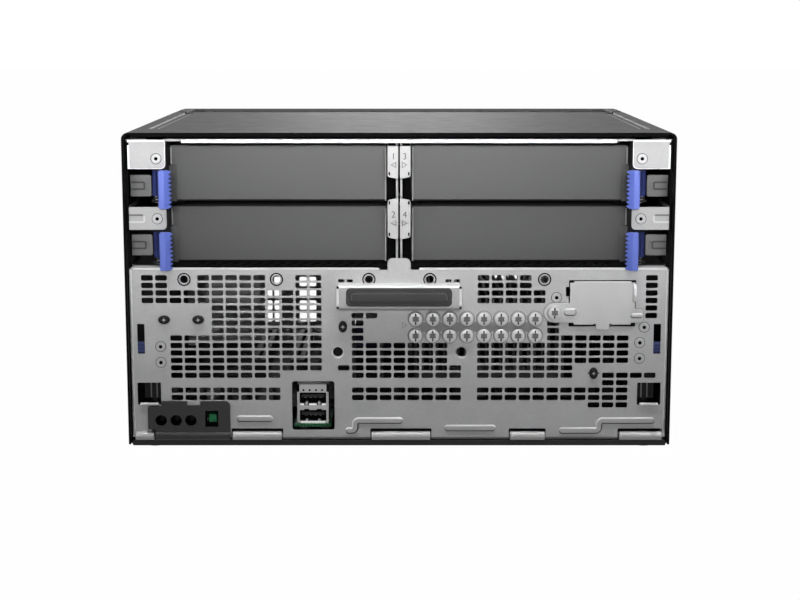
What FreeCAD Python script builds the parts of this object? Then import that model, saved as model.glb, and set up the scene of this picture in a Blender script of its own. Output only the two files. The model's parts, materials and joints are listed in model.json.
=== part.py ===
import FreeCAD, Part
import math
import os

# Compact tower server: a black outer cover over a bright sheet-metal chassis with four drive bays.
# Millimetres. +X is the viewer's right, the front faces -Y, +Z is up, and the feet stand on z = 0.

# Overall sizes
WIDTH = 254.0
LENGTH = 214.0
HEIGHT = 148.8
FOOT_HEIGHT = 2.5
FOOT_RADIUS = 6.0
FOOT_TAPER = 0.8
FOOT_X = (-116.0, 116.0)
FOOT_Y = (-94.0, 92.0)
SHEET = 1.0
SLIDE_GAP = 0.6
FIT_GAP = 0.2

# Planes that the pieces share
Y_FRONT = -LENGTH / 2
Y_REAR = LENGTH / 2
CHASSIS_X = WIDTH / 2 - SHEET - SLIDE_GAP
WALL_X = CHASSIS_X - SHEET
PANEL_Y = Y_FRONT + 2.0
PANEL_BACK = PANEL_Y + SHEET
BACK_OUT = Y_REAR - 2.0
BACK_IN = BACK_OUT - SHEET
BASE_TOP = FOOT_HEIGHT + 1.2
HEM_TOP = FOOT_HEIGHT + 1.9
HEM_LOW = FOOT_HEIGHT - 0.8
CHASSIS_TOP = HEIGHT - 3.2
PANEL_TOP = 86.2

# Outer cover: bend, front hem (depth, thickness), two long beads, two slots and a lowered rear strip
COVER_BEND = 3.0
COVER_HEM = (6.0, 0.8)
COVER_GROOVE = 0.5
COVER_BEAD_X = (113.3, 118.6)
COVER_BEAD_Y = (-80.0, 60.0)
COVER_BEAD_SLOPE = 0.7
COVER_SLOT_X = (108.4, 115.0)
COVER_SLOT_Y = (76.5, 79.0)
COVER_STRIP_Y = 66.0

# Drive bays: two columns of two, sized for 3.5-inch drives
DRIVE_W = 100.8
DRIVE_H = 26.1
DRIVE_L = 147.0
DRIVE_IN_X = 6.0
DRIVE_OUT_X = DRIVE_IN_X + DRIVE_W
DRIVE_Y = Y_FRONT + 16.0
BAY_FLOORS = (115.8, 87.2)
REBATE_DEEP = 2.8
REBATE_HIGH = 17.0
BLANK_WALL = 1.6
BLANK_BEVEL = 0.9
CAGE_X = DRIVE_OUT_X + SLIDE_GAP
CAGE_BACK = DRIVE_Y + DRIVE_L + 3.0
CAGE_FLOOR = PANEL_TOP + 0.8
CAGE_TOP = CHASSIS_TOP - 0.9
CAGE_FLANGE_X = 116.0
LIP_X = 99.9
LIP_LOW = 144.0
DIVIDER_X = (0.5, 1.5)
DIVIDER_Y = -98.0
LABEL_X = 5.3
LABEL_ROUND = 1.8
LABEL_LEVELS = ((127.6, 142.6, 0.0), (99.5, 118.6, LABEL_ROUND))
FLOOR_FRONT = -103.5
FLOOR_SLOTS = 16
FLOOR_SLOT_FIRST = 14.0
FLOOR_SLOT_STEP = 5.4
FLOOR_SLOT_Y = (-102.0, -93.5)
FLOOR_SLOT_SLANT = 4.0
STAY_X = (-92.0, -66.0)
STAY_Y = (-88.0, -87.2)
STAY_LOW = 66.0
RAIL_GAP = 0.3
RAIL_SHORT = 6.0
RAIL_INSET = 3.0
RAIL_LEDGE = 3.5
INNER_RAIL_HIGH = 18.0
BACKPLANE_X = 106.0
BACKPLANE_VENTS = (-86.0, -27.0, 27.0, 86.0)
BACKPLANE_VENT = (20.0, 16.0)
BOARD_THICK = 1.6

# Drive latches
PIN_X = 112.3
PIN_Y = -97.5
PIN_RADIUS = 1.0
PIN_PLAY = 0.05
PIN_LONG = 16.8
BARREL_RADIUS = 2.2
FINGER_X = (104.6, 110.4)
FINGER_Y = (-108.6, -105.6)
FINGER_FLAT = 2.8
FINGER_EDGE = 0.6
FINGER_LOW = -1.9
FINGER_HIGH = 15.8
TOOTH_COUNT = 9
TOOTH_DEEP = 1.4
WEB_LEVELS = (3.2, 15.0)
WEB_THICK = 2.0
EAR_LEVELS = (0.4, 15.2)
EAR_HALF = 2.6
SPRING_RADIUS = 2.0
SPRING_HIGH = 1.6

# Front brackets, recessed tabs and their embosses, as spans of height
UPPER_BRACKET = (132.0, CHASSIS_TOP)
MIDDLE_BRACKET = (103.9, 114.5)
TAB_LEVELS = ((118.2, 128.3), (90.4, 100.3))
BRACKET_END_X = 107.2
TAB_END_X = 115.6
TAB_Y = Y_FRONT + 14.0
POCKET_Y = Y_FRONT + 32.0
EMBOSS_LONG = 8.2
EMBOSS_HALF = 1.6
EMBOSS_DEEP = 0.5
WALL_FLANGE = 8.0

# Vent slots of the front panel: one grid, with the filled columns of each row
VENT_W = 5.4
VENT_H = 2.55
VENT_STEP_X = 6.51
VENT_STEP_Z = 3.55
VENT_FIRST = (-117.0, 81.5)
VENT_ROWS = (
    ((0, 1), (4, 8), (11, 12), (24, 27), (36, 36)),
    ((0, 1), (4, 8), (11, 12), (24, 27), (36, 36)),
    ((0, 12), (24, 28), (36, 36)),
    ((0, 12), (24, 28), (36, 36)),
    ((5, 12), (36, 36)),
    ((5, 12), (15, 16), (36, 36)),
    ((5, 12), (15, 15), (29, 29)),
    ((5, 12), (15, 15), (29, 29)),
    ((2, 12), (15, 15), (29, 34)),
    ((2, 12), (15, 21), (24, 34)),
    ((2, 12), (15, 21), (24, 34)),
    ((2, 12), (15, 21), (24, 34)),
    ((2, 12), (14, 22), (24, 30)),
    ((2, 9), (15, 22), (24, 30), (33, 36)),
    ((33, 34),),
    ((2, 9), (15, 22), (24, 34)),
    ((2, 9), (15, 22), (24, 34)),
    ((32, 34),),
)

# Round holes, fasteners and rolled edge of the front panel
RING_HOLES = ((-99.8, 80.8), (-56.9, 80.8), (-14.0, 80.8), (14.3, 80.8), (67.5, 80.8))
PLAIN_HOLES = ((-28.6, 46.4), (29.1, 46.4))
PANEL_RIVETS = ((-111.3, 49.1), (-111.3, 41.6), (73.2, 72.3), (114.2, 58.3), (112.3, 51.0), (112.3, 43.5))
PANEL_SCREWS = ((-109.4, 61.9), (-93.5, 61.9), (-26.2, 58.6), (91.0, 36.5))
ROLLS = ((-124.4, -114.5), (-78.8, -54.6), (-13.5, 15.2), (51.6, 69.0), (102.9, 124.4))
ROLL_RADIUS = 2.2
ROLL_GAP = 0.6
ROLL_WINDOW_TOP = 9.9
RING_RADIUS = 1.87
HOLE_RADIUS = 2.3
RETURN_DEEP = 10.0
TONGUE = (5.4, 90.7)
TONGUE_ROUND = 2.4
TONGUE_SLIT = (4.0, 0.8, 2.0)
BEAD_HIGH = 0.8
BEAD_WIDE = 3.1
BEAD_SLOPE = 0.5
BEAD_ROUND = 1.4
STRAIGHT_BEADS = ((-76.4, -59.3, 13.1), (21.3, 45.5, 8.6))
STEPPED_BEADS = ((-25.2, -20.6, 1.9), (75.2, 94.0, 120.2))
STEPPED_BEAD_LEVELS = (7.4, 12.2)
RIVET_RADII = (2.3, 1.9)
RIVET_HIGH = 0.5
BRACKET_RIVETS = (111.5, (136.8, 109.1))
PANEL_SCREW = (2.0, 1.6)
SPARE_SCREW_FIRST = (7.7, 62.4)
SPARE_SCREW_STEP = (7.95, 7.9)
SPARE_SCREW_COUNT = (8, 2)
SCREW_HEAD = 3.4
SCREW_HIGH = 2.2
HATCH_SCREW = (72.2, 65.5)
SCREW_TAPER = 0.85

# Hatch: its plate, screw lug, side lug, foot tab, finger tab, beads and corner reliefs
HATCH_X = (79.4, 109.6)
HATCH_Z = (59.1, 80.0)
HATCH_GAP = 0.45
HATCH_LUG = ((67.4, 79.4), (60.7, 69.8), 4.4)
HATCH_SIDE_LUG = ((109.6, 113.4), (60.7, 67.0), 0.8)
HATCH_FOOT = ((91.6, 97.8), (57.3, 59.1), 0.6)
HATCH_FINGER = (4.5, (70.5, 79.0))
HATCH_BEADS = (((76.7, 82.4), (64.0, 67.4)), ((107.8, 113.3), (63.0, 65.0)))
HATCH_BEAD_HIGH = 0.8
HATCH_RELIEF = (1.6, 1.2)

# Bezel catches with their release sliders
SLOT_X = (118.7, 122.1)
SLOT_Z = (45.6, 59.8)
CATCH_X = (111.6, 122.6)
CATCH_Z = (21.2, 31.9)
CATCH_LIP = (1.2, 1.5, 1.2)
SLIDER_HIGH = 5.0
SLIDER_WIDER = 1.0
SLIDER_THICK = 1.8
SLIDER_RIBS = 3
BAR_X = (118.4, 122.4)
BAR_ELBOW = (35.6, 38.0)
BAR_FOOT_X = (112.4, 119.6)
BAR_FOOT_Z = (24.0, 33.0)
POST_X = 114.8
POST_RADIUS = 2.3
POST_Z = (22.4, 33.0)

# Status housing with the power button
LAMP_X = (-111.6, -104.6, -97.7)
LAMP_Z = 14.1
LAMP_RADIUS = 2.67
BUTTON_X = (-89.2, -85.6)
BUTTON_Z = (13.4, 17.2)
STATUS_X = (-117.8, -79.3)
STATUS_TOP = 23.1
STATUS_EAR = (-114.3, 9.9, 20.8)
STATUS_NOTCH = ((-99.4, -93.2), 21.2)
STATUS_STEP = -111.4
STATUS_ROLL = 2.1
BUTTON_WINDOW = ((-90.9, -84.8), (10.9, 18.8))
SLEEVE_X = (-116.0, -81.0)
SLEEVE_TOP = 20.4
SLEEVE_WALL = 1.2
SLEEVE_DEEP = 12.0
SWITCH_BOARD_Y = PANEL_Y + 9.0

# Front data port
USB_X = -41.1
USB_SHELL = (15.0, 18.8)
USB_CAVITY = (12.5, 5.2)
USB_DEEP = 18.0
USB_FRONT_Y = Y_FRONT + 9.0
USB_BASE = 10.8
USB_MOUTHS = (1.1, 9.6)
USB_MOUTH_DEEP = 12.0
USB_TONGUE = (11.0, 2.9, 4.7)
USB_WINDOW = ((-50.3, -31.0), (9.1, 32.6))
USB_BOARD_X = (-49.6, -32.2)
USB_BOARD_THICK = 1.4

# Handle
HANDLE_X = 29.1
HANDLE_Z = (67.7, 79.0)
HANDLE_OUT = 6.5
GRIP_X = 24.4
GRIP_Z = (69.2, 77.8)
GRIP_OUT = 2.0
GRIP_BASE = 0.9
GRIP_RIM = (1.9, 1.6)
HANDLE_BEND = 1.2
HANDLE_RELIEF = 1.5
HANDLE_TABS = (22.9, 26.9)
HANDLE_TAB_SLOT = (1.4, (79.5, 80.7))

# System board and what stands on it
BOARD_TOP = 11.6
BOARD_X = 118.0
BOARD_Y = (-66.0, 102.0)
SLOT_CENTRES = (-74.0, -53.7)
SINK_X = (8.0, 84.0)
SINK_Y = (-34.0, 46.0)
SINK_TOP = 62.0
SINK_BASE = 5.0
FIN_COUNT = 22
FIN_THICK = 1.2
CHIP_HALF = 19.0
CHIP_HIGH = 6.0
MEMORY_X = (94.0, 104.0)
MEMORY_Y = (-58.0, 84.0)
MEMORY_SOCKET = (6.4, 8.0)
MEMORY_MODULE = (1.2, 25.0, 4.4)
CARD_SOCKET = (7.4, 11.0)
CARD_SOCKET_Y = (-4.0, 85.0)
CARD_GROOVE = (1.8, 8.0, 2.0)
STANDOFF_X = (-110.0, 0.0, 110.0)
STANDOFF_Y = (-58.0, 12.0, 84.0)
STANDOFF_RADIUS = 2.8
PORT_STANDOFF_X = (-46.0, -36.0)
CELL_AT = (-96.0, -40.0)
CELL_HOLDER = (11.5, 2.0)
CELL_SIZE = (10.0, 2.6)
DRIVE_SOCKET = (20.0, 2.4, (3.0, 9.0))

# Fan and rear panel
FAN_X = 62.0
FAN_Z = 92.0
FAN_SIZE = 92.0
FAN_DEEP = 25.0
FAN_BORE = 44.0
BLADE_COUNT = 7
HUB_RADIUS = 17.0
HUB_SPAN = (3.5, 21.5)
STRUT = (3.2, 2.5)
BLADE_PITCH = (50.0, 28.0)
BLADE_THICK = 1.4
FAN_SCREW = (3.6, 1.8)
FAN_SCREW_INSET = 4.75
GRILLE_STEP = 6.4
GRILLE_SLOT = 4.0
GRILLE_BRIDGE = 3.0
REAR_VENT = (9.0, 3.6)
REAR_VENT_FIRST = (-114.0, 96.0)
REAR_VENT_STEP = (13.0, 8.0)
REAR_VENT_COUNT = (9, 5)
CARD_WINDOW = (13.0, (14.0, 82.0))
CARD_COVER = (18.4, 86.0, 0.8)
CARD_VENT = (4.3, 5.6)
CARD_VENT_FIRST = 17.0
CARD_VENT_STEP = (5.5, 7.0)
CARD_VENT_ROWS = 9
SHAFT_RADIUS = 1.5
IO_X = (-36.0, 118.0)
IO_TOP = 34.0
THUMB_AT = (113.0, 135.0)
THUMB_RADIUS = 5.2
THUMB_OUT = 6.5

# Rear ports along the board
NET_X = (20.0, 38.0)
NET_SIZE = (16.0, 13.6)
REAR_USB_X = (60.0, 78.0)
DISPLAY_X = -10.0
NET_MOUTH = (11.8, (3.4, 11.6))
NET_CLIP = (5.6, (1.4, 4.0))
DISPLAY_SIZE = (31.0, 13.2)
DISPLAY_FACE = ((7.6, 8.8), 4.0, 5.6)
DISPLAY_POST = (12.5, 2.4, 4.6)
INLET_X = 102.0
INLET_SIZE = (16.0, 14.0)
INLET_BORE = 5.0
INLET_PIN = (1.3, 10.0)
INLET_DEEP = 12.0
PORT_OUT = BACK_OUT + 0.6

# Cables inside, from the backplane down to the system board
CABLE_RADIUS = 2.0
CABLE_ROUTES = (
    ((-30.0, 60.6, 94.0), (-30.0, 82.0, 94.0), (-29.5, 88.0, 66.0), (-28.0, 66.0, 42.0),
     (-26.0, 28.0, 38.0), (-25.0, -8.0, 44.0), (-24.0, -26.0, 30.0), (-24.0, -26.0, 11.6)),
    ((-16.0, 60.6, 94.0), (-16.0, 84.0, 94.0), (-15.0, 91.0, 67.0), (-12.0, 70.0, 45.0),
     (-9.0, 32.0, 42.0), (-9.0, -4.0, 49.0), (-10.0, -20.0, 32.0), (-10.0, -20.0, 11.6)),
)

# Double data ports: middle, mouth, underside and the way they run in
USB_PORTS = ((USB_X, USB_FRONT_Y, USB_BASE, 1),)
USB_PORTS += tuple((x, PORT_OUT, BOARD_TOP, -1) for x in REAR_USB_X)


def vec(x, y, z):
    """Point or direction."""
    return FreeCAD.Vector(x, y, z)


def box(x, y, z):
    """Block between three (low, high) spans."""
    return Part.makeBox(x[1] - x[0], y[1] - y[0], z[1] - z[0], vec(x[0], y[0], z[0]))


def rod(centre, direction, radius, length):
    """Round bar from a centre point along a direction."""
    return Part.makeCylinder(radius, length, centre, direction)


def facing(y):
    """Maps (x, z) onto a plane that faces the front."""
    return lambda a, b: vec(a, y, b)


def sideways(x):
    """Maps (y, z) onto a plane that faces the side."""
    return lambda a, b: vec(x, a, b)


def level(z):
    """Maps (x, y) onto a level plane."""
    return lambda a, b: vec(a, b, z)


def outline(corners, place):
    """Closed wire through corners (a, b) or (a, b, radius), with an arc at each radius."""
    points = [vec(c[0], c[1], 0) for c in corners]
    radii = [c[2] if len(c) > 2 else 0.0 for c in corners]
    spans = []
    for i, point in enumerate(points):
        back = (points[i - 1] - point).normalize()
        ahead = (points[(i + 1) % len(points)] - point).normalize()
        if not radii[i]:
            spans.append((point, None, point))
            continue
        half = back.getAngle(ahead) / 2
        cut = radii[i] / math.tan(half)
        middle = (back + ahead).normalize() * (radii[i] / math.sin(half) - radii[i])
        spans.append((point + back * cut, point + middle, point + ahead * cut))
    edges = []
    for i, (start, middle, end) in enumerate(spans):
        if middle:
            edges.append(Part.Arc(place(*start[:2]), place(*middle[:2]), place(*end[:2])).toShape())
        follow = spans[(i + 1) % len(spans)][0]
        if end.distanceToPoint(follow) > 1e-6:
            edges.append(Part.LineSegment(place(*end[:2]), place(*follow[:2])).toShape())
    return Part.Wire(edges)


def rect(a, b, radius=0.0):
    """Corners of a rectangle over two (low, high) spans."""
    return [(a[0], b[0], radius), (a[1], b[0], radius), (a[1], b[1], radius), (a[0], b[1], radius)]


def ring(x, z, y, radius):
    """Circular wire on a plane that faces the front."""
    return Part.Wire(Part.Circle(vec(x, y, z), vec(0, 1, 0), radius).toShape())


def prism(wires, direction):
    """Sheet with holes: the first wire is its edge and the rest are its holes."""
    if len(wires) == 1:
        return Part.Face(wires[0]).extrude(direction)
    return Part.makeFace(wires, "Part::FaceMakerBullseye").extrude(direction)


def front_sheet(corners, y, holes=()):
    """Sheet in a front plane: y is the (outer, inner) span and holes are corner lists."""
    wires = [outline(corners, facing(y[0]))]
    wires += [outline(hole, facing(y[0])) for hole in holes]
    return prism(wires, vec(0, y[1] - y[0], 0))


def mirrored(shape):
    """Twin on the other side of the middle plane."""
    return shape.mirror(vec(0, 0, 0), vec(1, 0, 0))


def joined(shapes):
    """One solid out of touching pieces."""
    return shapes[0].fuse(shapes[1:]).removeSplitter()


def group(shapes):
    """Separate solids that share one node."""
    return Part.makeCompound(shapes)


# Outer cover

def outer_cover():
    """Top and two sides bent from one sheet, with a hemmed front and two rear tabs."""
    half = WIDTH / 2
    inner = half - SHEET
    foot = FOOT_HEIGHT + FIT_GAP
    under = HEIGHT - SHEET
    bend, hug = COVER_BEND, COVER_BEND - SHEET
    section = [(-half, foot), (-half, HEIGHT, bend), (half, HEIGHT, bend), (half, foot)]
    section += [(inner, foot), (inner, under, hug), (-inner, under, hug), (-inner, foot)]
    shell = prism([outline(section, facing(Y_FRONT))], vec(0, LENGTH, 0))
    hem_end = inner - bend
    hem = (Y_FRONT, Y_FRONT + COVER_HEM[0])
    shell = shell.fuse(box((-hem_end, hem_end), hem, (under - COVER_HEM[1], under)))
    groove = HEIGHT - COVER_GROOVE
    cuts = [box((-half, half), (COVER_STRIP_Y, Y_REAR + 1), (groove, HEIGHT + 1))]
    for side in (-1, 1):
        low, high = sorted(side * x for x in COVER_BEAD_X)
        bead = [(low, HEIGHT), (high, HEIGHT)]
        bead += [(high - COVER_BEAD_SLOPE, groove), (low + COVER_BEAD_SLOPE, groove)]
        cuts.append(front_sheet(bead, COVER_BEAD_Y))
        slot = sorted(side * x for x in COVER_SLOT_X)
        cuts.append(box(slot, COVER_SLOT_Y, (under - 1, HEIGHT + 1)))
    shell = shell.cut(cuts)
    for side in (-1, 1):
        x, z = side * THUMB_AT[0], THUMB_AT[1]
        span = sorted((side * (THUMB_AT[0] - 5.6), side * inner))
        edge = outline(rect(span, (z - 7.0, z + 7.0)), facing(Y_REAR - SHEET))
        hole = ring(x, z, Y_REAR - SHEET, SHAFT_RADIUS + 0.6)
        shell = shell.fuse(prism([edge, hole], vec(0, SHEET, 0)))
    return shell.removeSplitter()


def thumb_screws():
    """Two captive screws that hold the cover to the rear panel."""
    screws = []
    for side in (-1, 1):
        start = vec(side * THUMB_AT[0], Y_REAR, THUMB_AT[1])
        head = rod(start, vec(0, 1, 0), THUMB_RADIUS, THUMB_OUT)
        rims = [e for e in head.Edges if e.Closed]
        head = head.makeChamfer(0.7, rims)
        screws.append(joined([head, rod(start, vec(0, -1, 0), SHAFT_RADIUS, 7.0)]))
    return group(screws)


# Base, feet and chassis walls

def base_tray():
    """Floor sheet with a doubled front hem, its turned-down edge and an upstanding rear lip."""
    floor = box((-WALL_X, WALL_X), (PANEL_Y, BACK_IN), (FOOT_HEIGHT, BASE_TOP))
    front = PANEL_Y - FIT_GAP
    hem = box((-CHASSIS_X, CHASSIS_X), (front, PANEL_Y + 8.0), (FOOT_HEIGHT, HEM_TOP))
    edge = box((-CHASSIS_X, CHASSIS_X), (front, front + 2 * SHEET), (HEM_LOW, HEM_TOP))
    lip = box((-WALL_X, WALL_X), (BACK_IN - 1.2, BACK_IN), (FOOT_HEIGHT, BOARD_TOP - 2.0))
    return joined([floor, hem, edge, lip])


def rubber_feet():
    """Four round feet under the corners of the base."""
    feet = []
    for x in FOOT_X:
        for y in FOOT_Y:
            feet.append(Part.makeCone(FOOT_RADIUS - FOOT_TAPER, FOOT_RADIUS, FOOT_HEIGHT, vec(x, y, 0)))
    return group(feet)


def chassis_wall():
    """Left side wall with its two front brackets, two recessed tabs and a top flange."""
    upper_tab, lower_tab = TAB_LEVELS
    reaches = ((UPPER_BRACKET, PANEL_Y), (upper_tab, TAB_Y), (MIDDLE_BRACKET, PANEL_Y), (lower_tab, TAB_Y))
    profile = [(TAB_Y, FOOT_HEIGHT), (BACK_IN, FOOT_HEIGHT), (BACK_IN, CHASSIS_TOP)]
    for (low, high), front in reaches:
        profile += [(POCKET_Y, high), (front, high), (front, low), (POCKET_Y, low)]
    profile += [(POCKET_Y, PANEL_TOP), (TAB_Y, PANEL_TOP)]
    wall = prism([outline(profile, sideways(-CHASSIS_X))], vec(SHEET, 0, 0))
    inner = -CHASSIS_X + WALL_FLANGE
    flange = box((-CHASSIS_X, inner), (TAB_Y, BACK_IN - 4.0), (CHASSIS_TOP - SHEET, CHASSIS_TOP))
    z0, z1 = UPPER_BRACKET
    upper = [(-CHASSIS_X, z0), (-BRACKET_END_X, z0, 2.4), (-BRACKET_END_X, z1), (-CHASSIS_X, z1)]
    z0, z1 = MIDDLE_BRACKET
    middle = [(-CHASSIS_X, z0), (-BRACKET_END_X, z0, 2.2), (-BRACKET_END_X, z1, 2.2), (-CHASSIS_X, z1)]
    pieces = [wall, flange]
    pieces += [front_sheet(corners, (PANEL_Y, PANEL_BACK)) for corners in (upper, middle)]
    for z0, z1 in TAB_LEVELS:
        tab = [(-CHASSIS_X, z0), (-TAB_END_X, z0, 1.0), (-TAB_END_X, z1, 1.0), (-CHASSIS_X, z1)]
        pieces.append(front_sheet(tab, (TAB_Y, TAB_Y + SHEET)))
    embosses = [(span, front) for span, front in reaches if span != UPPER_BRACKET]
    pieces += [emboss(span, front + SHEET) for span, front in embosses]
    return joined(pieces).cut([emboss(span, front) for span, front in embosses])


def emboss(span, y):
    """Stiffening bead across the bend of a bracket: sunk in its face, and standing out of its back."""
    z, reach = sum(span) / 2, -CHASSIS_X + EMBOSS_LONG
    low, high = z - EMBOSS_HALF, z + EMBOSS_HALF
    bead = [(-CHASSIS_X, low), (reach, low, 1.2), (reach, high, 1.2), (-CHASSIS_X, high)]
    return front_sheet(bead, (y, y + EMBOSS_DEEP))


# Drive cage

def cage_wall():
    """Left cage wall with riveting flanges, latch ears and a rear flange."""
    span = (-CAGE_X - SHEET, -CAGE_X)
    pieces = [box(span, (PANEL_BACK + SHEET, CAGE_BACK), (PANEL_TOP, CAGE_TOP))]
    for low, high in (UPPER_BRACKET, MIDDLE_BRACKET):
        high = min(high, CAGE_TOP + SHEET)
        flange = (PANEL_BACK, PANEL_BACK + SHEET)
        pieces.append(box((-CAGE_FLANGE_X, -CAGE_X), flange, (low + SHEET, high - SHEET)))
    for floor in BAY_FLOORS:
        for rise in EAR_LEVELS:
            front, rear, tip = PIN_Y - EAR_HALF, PIN_Y + EAR_HALF, -PIN_X - EAR_HALF
            ear = [(-CAGE_X - SHEET, front), (-CAGE_X - SHEET, rear), (tip, rear, 2.4), (tip, front, 2.4)]
            plate = prism([outline(ear, level(floor + rise))], vec(0, 0, SHEET))
            bore = rod(vec(-PIN_X, PIN_Y, floor), vec(0, 0, 1), PIN_RADIUS, DRIVE_H)
            pieces.append(plate.cut(bore))
    pieces.append(box((-WALL_X, -CAGE_X), (CAGE_BACK - SHEET, CAGE_BACK), (CAGE_FLOOR, CAGE_TOP - 0.5)))
    return joined(pieces)


def cage_divider():
    """Left of two middle sheets, with a label tab bent out in front of each bay."""
    near, far = -DIVIDER_X[0], -DIVIDER_X[1]
    pieces = [box((far, near), (DIVIDER_Y, CAGE_BACK), (CAGE_FLOOR, CAGE_TOP))]
    for low, high, high_round in LABEL_LEVELS:
        pieces.append(box((far, near), (PANEL_BACK, DIVIDER_Y), (low, high)))
        tab = [(-LABEL_X, low, LABEL_ROUND), (near, low), (near, high), (-LABEL_X, high, high_round)]
        pieces.append(front_sheet(tab, (PANEL_Y, PANEL_BACK)))
    return joined(pieces)


def cage_top():
    """Top sheet with a turned-down front lip."""
    edge = CAGE_X + SHEET
    plate = box((-edge, edge), (PANEL_BACK, CAGE_BACK), (CAGE_TOP, CAGE_TOP + SHEET))
    lip = box((-LIP_X, LIP_X), (PANEL_Y, PANEL_BACK), (LIP_LOW, CAGE_TOP + SHEET))
    return joined([plate, lip])


def cage_floor():
    """Floor sheet with a row of slanted vents in front and a hanging stay below."""
    edge = outline(rect((-CAGE_X, CAGE_X), (FLOOR_FRONT, CAGE_BACK)), level(PANEL_TOP))
    front, rear = FLOOR_SLOT_Y
    slots = []
    for side in (-1, 1):
        for i in range(FLOOR_SLOTS):
            x = side * (FLOOR_SLOT_FIRST + FLOOR_SLOT_STEP * i)
            left, right = x - 1.6, x + 0.4
            slot = [(left, front), (right, front)]
            slot += [(right + FLOOR_SLOT_SLANT, rear), (left + FLOOR_SLOT_SLANT, rear)]
            slots.append(outline(slot, level(PANEL_TOP)))
    plate = prism([edge] + slots, vec(0, 0, CAGE_FLOOR - PANEL_TOP))
    return joined([plate, box(STAY_X, STAY_Y, (STAY_LOW, PANEL_TOP))])


def bay_rails():
    """Plastic runners: two per bay, outside in the drive's rebate and inside on the divider."""
    rails = []
    start, end = DRIVE_Y, DRIVE_Y + DRIVE_L - RAIL_SHORT
    out_x = DRIVE_OUT_X - REBATE_DEEP + RAIL_GAP
    in_x = DRIVE_IN_X - RAIL_GAP
    for floor in BAY_FLOORS:
        upper = floor == max(BAY_FLOORS)
        low = floor - 1.5 if upper else CAGE_FLOOR
        for side in (-1, 1):
            span = sorted((side * CAGE_X, side * out_x))
            outer = box(span, (start, end), (low, floor + REBATE_HIGH - RAIL_GAP))
            span = sorted((side * DIVIDER_X[1], side * in_x))
            inner = box(span, (start + RAIL_INSET, end), (low, floor + INNER_RAIL_HIGH))
            if upper:
                ledge = (low, floor - FIT_GAP)
                span = sorted((side * out_x, side * (out_x - RAIL_LEDGE)))
                outer = outer.fuse(box(span, (start + RAIL_INSET, end), ledge))
                span = sorted((side * in_x, side * (in_x + RAIL_LEDGE)))
                inner = inner.fuse(box(span, (start + RAIL_INSET, end), ledge))
            rails += [outer.removeSplitter(), inner.removeSplitter()]
    return group(rails)


def drive_blank(floor):
    """Left-hand moulded drive blank: a thin shell, open behind, with a rebate for its runner."""
    top, step_z = floor + DRIVE_H, floor + REBATE_HIGH
    step_x = -DRIVE_OUT_X + REBATE_DEEP
    deep = (DRIVE_Y, DRIVE_Y + DRIVE_L)
    solid = front_sheet(rect((-DRIVE_OUT_X, -DRIVE_IN_X), (floor, top)), deep)
    rim = [e for e in solid.Edges if e.BoundBox.YMax < DRIVE_Y + 0.01]
    solid = solid.makeChamfer(BLANK_BEVEL, rim)
    rebate = box((-DRIVE_OUT_X, step_x), deep, (floor, step_z))
    wall = BLANK_WALL
    left, right = -DRIVE_OUT_X + wall, -DRIVE_IN_X - wall
    inside = [(step_x + wall, floor + wall), (right, floor + wall), (right, top - wall), (left, top - wall)]
    inside += [(left, step_z + wall), (step_x + wall, step_z + wall)]
    hollow = front_sheet(inside, (DRIVE_Y + 1.5 * wall, deep[1]))
    return solid.cut([rebate, hollow])


# Drive latches

def drive_latch(floor):
    """Left-hand latch: a sloped, toothed finger on a web, with a barrel that turns on an upright pin."""
    low, high = floor + FINGER_LOW, floor + FINGER_HIGH
    step = (high - low) / TOOTH_COUNT
    back, tip = -FINGER_X[1], -FINGER_X[0]
    root = tip - TOOTH_DEEP
    edge = [(back, low, 0.8), (back, high, 0.8), (root, high)]
    for i in range(TOOTH_COUNT):
        top = high - i * step
        edge += [(tip, top - 0.3 * step), (tip, top - 0.6 * step), (root, top - step)]
    front, rear = FINGER_Y
    finger = front_sheet(edge, FINGER_Y)
    plan = [(back, rear), (back, front, 0.6), (back + FINGER_FLAT, front, 1.0)]
    plan += [(tip, rear - FINGER_EDGE), (tip, rear)]
    finger = finger.common(prism([outline(plan, level(low))], vec(0, 0, high - low)))
    web_low, web_high = (floor + rise for rise in WEB_LEVELS)
    web = [(back, rear), (back + WEB_THICK, rear), (-PIN_X + 0.9, PIN_Y - 0.5), (-PIN_X - 1.1, PIN_Y - 0.5)]
    tall = vec(0, 0, web_high - web_low)
    barrel = rod(vec(-PIN_X, PIN_Y, web_low), vec(0, 0, 1), BARREL_RADIUS, tall.z)
    body = joined([finger, prism([outline(web, level(web_low))], tall), barrel])
    return body.cut(rod(vec(-PIN_X, PIN_Y, low), vec(0, 0, 1), PIN_RADIUS + PIN_PLAY, high - low))


def latch_pins():
    """Four upright pivot pins held in the ears of the cage walls."""
    pins = []
    for side in (-1, 1):
        for floor in BAY_FLOORS:
            pins.append(rod(vec(side * PIN_X, PIN_Y, floor), vec(0, 0, 1), PIN_RADIUS, PIN_LONG))
    return group(pins)


def latch_springs():
    """Four return springs, each drawn as its wound body round the pin."""
    springs = []
    for side in (-1, 1):
        for floor in BAY_FLOORS:
            base = vec(side * PIN_X, PIN_Y, floor + EAR_LEVELS[0] + SHEET)
            wound = rod(base, vec(0, 0, 1), SPRING_RADIUS, SPRING_HIGH)
            springs.append(wound.cut(rod(base, vec(0, 0, 1), PIN_RADIUS + FIT_GAP, SPRING_HIGH)))
    return group(springs)


# Front panel

def vent_slots():
    """Corner lists of all the vent slots."""
    slots = []
    for row, spans in enumerate(VENT_ROWS):
        z = VENT_FIRST[1] - row * VENT_STEP_Z
        for first, last in spans:
            for column in range(first, last + 1):
                x = VENT_FIRST[0] + column * VENT_STEP_X
                slots.append(rect((x - VENT_W / 2, x + VENT_W / 2), (z - VENT_H / 2, z + VENT_H / 2)))
    return slots


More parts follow.
